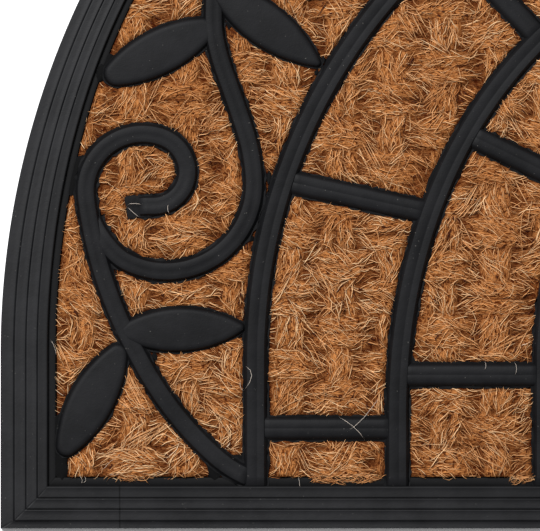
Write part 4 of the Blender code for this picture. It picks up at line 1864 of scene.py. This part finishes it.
class Graph:
    """A material's node tree."""

    def __init__(self, name: str) -> None:
        """Make a material with a Principled shader.

        Args:
            name: Name of the material.
        """
        self.material = bpy.data.materials.new(name)
        self.material.use_nodes = True
        self.tree = self.material.node_tree
        self.shader = self.tree.nodes["Principled BSDF"]

    def node(self, kind: str, settings: dict, inputs: dict, output: str | int = 0) -> Socket:
        """Add any node.

        Args:
            kind: Its type.
            settings: Its properties, set first.
            inputs: Values or links for its sockets, by name or number.
            output: The output wanted.

        Returns:
            That output, wrapped.
        """
        made = self.tree.nodes.new(kind)
        for name, value in settings.items():
            setattr(made, name, value)
        for name, value in inputs.items():
            self.feed(made.inputs[name], value)
        return Socket(self, made.outputs[output])

    def feed(self, socket: bpy.types.NodeSocket, value: object) -> None:
        """Link a wrapped socket to a socket, or set its value."""
        if isinstance(value, Socket):
            self.tree.links.new(value.socket, socket)
        else:
            socket.default_value = value

    def where(self) -> Socket:
        """Object coordinates."""
        return self.node("ShaderNodeTexCoord", {}, {}, "Object")

    def noise(self, vector: Socket, pattern: Noise, output: str = "Fac") -> Socket:
        """A noise value from 0 to 1, or a colour of three."""
        return self.node("ShaderNodeTexNoise", {},
                         {"Vector": vector, "Scale": pattern.scale, "Detail": pattern.detail,
                          "Roughness": pattern.roughness}, output)

    def mix(self, factor: Socket | float, first: object, second: object) -> Socket:
        """A colour between two others."""
        return self.node("ShaderNodeMix", {"data_type": "RGBA"},
                         {0: factor, 6: first, 7: second}, 2)

    def attribute(self, name: str) -> Socket:
        """The piece's own value of that name."""
        return self.node("ShaderNodeAttribute", {"attribute_name": name}, {}, "Fac")

    def bump(self, height: Socket, distance: float, strength: float) -> Socket:
        """A normal from a height."""
        return self.node("ShaderNodeBump", {}, {"Height": height, "Distance": distance,
                                                "Strength": strength})

    def finish(self, **inputs: object) -> Material:
        """Set the shader's sockets; underscores in a name stand for spaces."""
        for name, value in inputs.items():
            self.feed(self.shader.inputs[name.replace("_", " ")], value)
        return self.material


@dataclass(frozen=True)
class Noise:
    """A noise pattern: its scale in cells a metre, its detail and its roughness."""

    scale: float
    detail: float
    roughness: float


@dataclass(frozen=True)
class RubberFinish:
    """Moulded black rubber: matt, faintly mottled, with a fine grain and specks of dust."""

    name: str = "rubber"
    dark: Colour = (0.0052, 0.0053, 0.0062, 1.0)
    light: Colour = (0.0100, 0.0101, 0.0114, 1.0)
    dust: Colour = (0.11, 0.105, 0.095, 1.0)
    black: Colour = (0.0, 0.0, 0.0, 1.0)
    sheen: float = 0.16
    cloud: Noise = Noise(60.0, 3.0, 0.6)
    grain: Noise = Noise(1500.0, 2.0, 0.6)
    scuff: Noise = Noise(330.0, 3.0, 0.65)
    speck: Noise = Noise(900.0, 1.0, 0.5)
    cloud_run: Pair = (0.3, 0.7)
    speck_run: Pair = (0.75, 0.81)
    speck_share: float = 0.55
    # Where the mould's halves met: |x| of the line across the border, the y it ends at, how
    # far from it the line fades, and how much darker it is.  Then how much painted shade darkens
    # the rubber where a piece's shade is full.
    seam: Pair = (321.9 * MM, -206.4 * MM)
    seam_end: float = 1.0 * MM
    seam_run: Pair = (0.45 * MM, 0.1 * MM)
    seam_dark: float = 0.7
    shade_dark: float = 0.9
    grain_bump: float = 0.35
    scuff_bump: float = 0.65
    bump_height: float = 0.25 * MM
    bump_strength: float = 0.5
    rough: float = 0.5
    cloud_rough: float = 0.12
    shade_rough: float = 0.28

    def material(self) -> Material:
        """Build the shader.

        Returns:
            The material.
        """
        graph = Graph(self.name)
        where, shade = graph.where(), graph.attribute("shade")
        cloud, grain, scuff, speck = (graph.noise(where, pattern) for pattern in
                                      (self.cloud, self.grain, self.scuff, self.speck))
        across, up = (graph.node("ShaderNodeSeparateXYZ", {}, {"Vector": where}, axis)
                      for axis in "XY")
        off_seam = (across.maths("ABSOLUTE") - self.seam[0]).maths("ABSOLUTE")
        seam = off_seam.step(*self.seam_run) * up.step(self.seam[1] + self.seam_end, self.seam[1])
        colour = graph.mix(cloud.step(*self.cloud_run), self.dark, self.light)
        colour = graph.mix(speck.step(*self.speck_run) * self.speck_share, colour, self.dust)
        # Painted shade where the piece's shade says, and the mould seam's own dark line.
        darkening = shade * self.shade_dark + seam * self.seam_dark
        height = grain * self.grain_bump + scuff * self.scuff_bump - seam
        return graph.finish(
            Base_Color=graph.mix(darkening, colour, self.black), Specular_IOR_Level=self.sheen,
            Roughness=cloud * self.cloud_rough + shade * self.shade_rough + self.rough,
            Normal=graph.bump(height, self.bump_height, self.bump_strength))


# The same rubber with less sheen, its colours darker as painted shade over the tracery.
PAINTED_SHADE_TRACERY_FINISH = RubberFinish("rubber_tracery_painted_shade", (0.0046, 0.0047, 0.0054, 1.0),
                              (0.0082, 0.0083, 0.0094, 1.0), sheen=0.09)


@dataclass(frozen=True)
class CoirBodyFinish:
    """The packed fibre inside the yarns: wavy streaks along each yarn, painted shade in the gaps.
    """

    # Painted shade in the pits and low places takes the gap colour.  The dark streak colour is
    # partly darker fibre and partly painted shade between the fibres.
    gap: Colour = (0.045, 0.0065, 0.0008, 1.0)
    dark: Colour = (0.11, 0.025, 0.0035, 1.0)
    light: Colour = (0.52, 0.212, 0.066, 1.0)
    # Streaks are noise drawn out along the yarn by a scale, on places that drift shifts.
    streak: Noise = Noise(2400.0, 2.0, 0.6)
    along_scale: float = 0.14
    drift: Noise = Noise(210.0, 2.0, 0.5)
    waver: float = 1.6 * MM
    pit: Noise = Noise(620.0, 2.0, 0.6)
    streak_run: Pair = (0.36, 0.62)
    pit_run: Pair = (0.54, 0.64)
    pit_painted_shade: float = 0.9
    depth_painted_shade: float = 0.8

    def streaks(self, graph: Graph, scale: Triple) -> Socket:
        """Fine noise drawn out along one axis, where a coarse noise shifts it.

        Args:
            graph: Where its nodes go.
            scale: How much finer it is along each axis.

        Returns:
            A value from 0 to 1.
        """
        where = graph.where()
        moved = graph.node("ShaderNodeVectorMath", {"operation": "MULTIPLY_ADD"},
                           {0: graph.noise(where, self.drift, "Color"), 1: (self.waver,) * 3,
                            2: where})
        drawn = graph.node("ShaderNodeMapping", {}, {"Vector": moved, "Scale": scale})
        return graph.noise(drawn, self.streak)

    def material(self) -> Material:
        """Build the shader.

        Returns:
            The material.
        """
        graph = Graph("coir_body")
        lie = graph.attribute("lie")
        weft = self.streaks(graph, (self.along_scale, 1.0, 1.0))
        warp = self.streaks(graph, (1.0, self.along_scale, 1.0))
        streak = weft * (1.0 - lie) + warp * lie
        pit = graph.noise(graph.where(), self.pit).step(*self.pit_run)
        colour = graph.mix(streak.step(*self.streak_run), self.dark, self.light)
        # Painted shade: the pits between fibres, and the low places the more the lower they lie.
        colour = graph.mix(pit * self.pit_painted_shade, colour, self.gap)
        colour = graph.mix(graph.attribute("depth") * self.depth_painted_shade, colour, self.gap)
        return graph.finish(Base_Color=colour, Roughness=0.95, Specular_IOR_Level=0.04,
                            Normal=graph.bump(streak, 1.0 * MM, 1.0))


@dataclass(frozen=True)
class FibreFinish:
    """Single coir fibres, from reddish brown to pale straw by each fibre's own tone."""

    # Painted shade: the colour of pit fibres and of those deepest in seams, grooves and hollows.
    shade: Colour = (0.048, 0.011, 0.008, 1.0)
    # The tones between which the next colour takes over.
    tints: tuple[tuple[float, float, Colour], ...] = (
        (-0.35, 0.1, (0.24, 0.066, 0.012, 1.0)), (0.0, 0.55, (0.64, 0.310, 0.122, 1.0)),
        (0.45, 1.05, (0.78, 0.535, 0.305, 1.0)), (1.15, 1.4, (0.62, 0.55, 0.48, 1.0)))
    patch: Noise = Noise(55.0, 2.0, 0.6)
    fine: Noise = Noise(700.0, 1.0, 0.5)
    mottle: float = 0.24

    def material(self) -> Material:
        """Build the shader; coarse and fine noise shift a fibre's tone a little.

        Returns:
            The material.
        """
        graph = Graph("coir_fibre")
        patch, fine = (graph.noise(graph.where(), pattern) for pattern in (self.patch, self.fine))
        value = graph.attribute("tone") + patch * self.mottle + fine * self.mottle - self.mottle
        colour = self.shade
        for low, high, tint in self.tints:
            colour = graph.mix(value.step(low, high), colour, tint)
        return graph.finish(Base_Color=colour, Roughness=0.7, Specular_IOR_Level=0.1)


@dataclass(frozen=True)
class Studio:
    """Pale floor, soft light from the upper left and a camera straight above."""

    view_centre: Pair = (-0.2552, -0.1081)
    view_width: float = 0.23965
    focus_height: float = 8.0 * MM
    camera_distance: float = 2.4
    sensor: float = 36.0
    floor_side: float = 6.0
    floor_drop: float = 0.2 * MM
    floor_colour: Colour = (0.93, 0.93, 0.935, 1.0)
    key_power: float = 103.0
    key_side: float = 0.9
    key_direction: Triple = (-0.42, 0.66, 1.30)
    key_distance: float = 2.6
    sky_strength: float = 0.40

    def floor(self) -> None:
        """A plain pale floor just under the mat."""
        corners = np.array([[-1, -1], [1, -1], [1, 1], [-1, 1]]) * (self.floor_side / 2)
        maker = MeshMaker()
        maker.add(np.column_stack([corners, np.full(4, -self.floor_drop)]), np.arange(4)[None])
        graph = Graph("floor")
        material = graph.finish(Base_Color=self.floor_colour, Roughness=0.8,
                                Specular_IOR_Level=0.1)
        maker.build("floor", material, ALL_SMOOTH_DEG)

    def light(self) -> None:
        """One large soft lamp from the upper left and an even pale sky."""
        lamp = bpy.data.lights.new("key", "AREA")
        lamp.size = self.key_side
        lamp.energy = self.key_power
        thing = bpy.data.objects.new("key", lamp)
        direction = Vector(self.key_direction).normalized()
        aim = Vector((*self.view_centre, 0.0))
        thing.location = aim + direction * self.key_distance
        thing.rotation_euler = direction.to_track_quat("Z", "Y").to_euler()
        bpy.context.scene.collection.objects.link(thing)
        world = bpy.data.worlds.new("sky")
        world.use_nodes = True
        sky = world.node_tree.nodes["Background"].inputs
        sky["Color"].default_value = (1.0, 1.0, 1.0, 1.0)
        sky["Strength"].default_value = self.sky_strength
        bpy.context.scene.world = world

    def camera(self) -> None:
        """A long lens straight above the corner of the mat."""
        lens = bpy.data.cameras.new("camera")
        lens.sensor_width = self.sensor
        lens.lens = self.sensor * self.camera_distance / self.view_width
        lens.clip_end = 50.0
        thing = bpy.data.objects.new("camera", lens)
        thing.location = (*self.view_centre, self.focus_height + self.camera_distance)
        bpy.context.scene.collection.objects.link(thing)
        bpy.context.scene.camera = thing

    def build(self) -> None:
        """Set up floor, light and camera, and plain colours on screen."""
        self.floor()
        self.light()
        self.camera()
        bpy.context.scene.view_settings.view_transform = "Standard"


def dress(piece: Object, node: str) -> None:
    """Tie a piece to the body, hide the CAD node it stands for, and report its triangles.

    Args:
        piece: The piece.
        node: The node that it replaces.
    """
    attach(piece, "root")
    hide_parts(node)
    piece.data.calc_loop_triangles()
    LOG.info("%s: %d triangles", piece.name, len(piece.data.loop_triangles))


def main() -> None:
    """Build every piece around the frame."""
    logging.basicConfig(level=logging.INFO, format="%(message)s")
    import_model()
    low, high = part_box("rubber_moulding")
    outline = Outline(width=high.x - low.x, depth=high.y - low.y)
    border = Border()
    plan = TraceryPlan(outline, border)
    Studio().build()
    dress(border.build(outline, RubberFinish().material()), "rubber_moulding")
    for piece in Tracery(plan, PAINTED_SHADE_TRACERY_FINISH.material()).build():
        dress(piece, "rubber_moulding")
    coir = Coir(plan, FootField(plan), Weave())
    weave = coir.sheet(CoirBodyFinish().material())
    dress(weave, "coir_mat")
    fibres = coir.fibres(FibreFinish().material())
    for piece in fibres:
        dress(piece, "coir_mat")


if __name__ == "__main__":
    main()
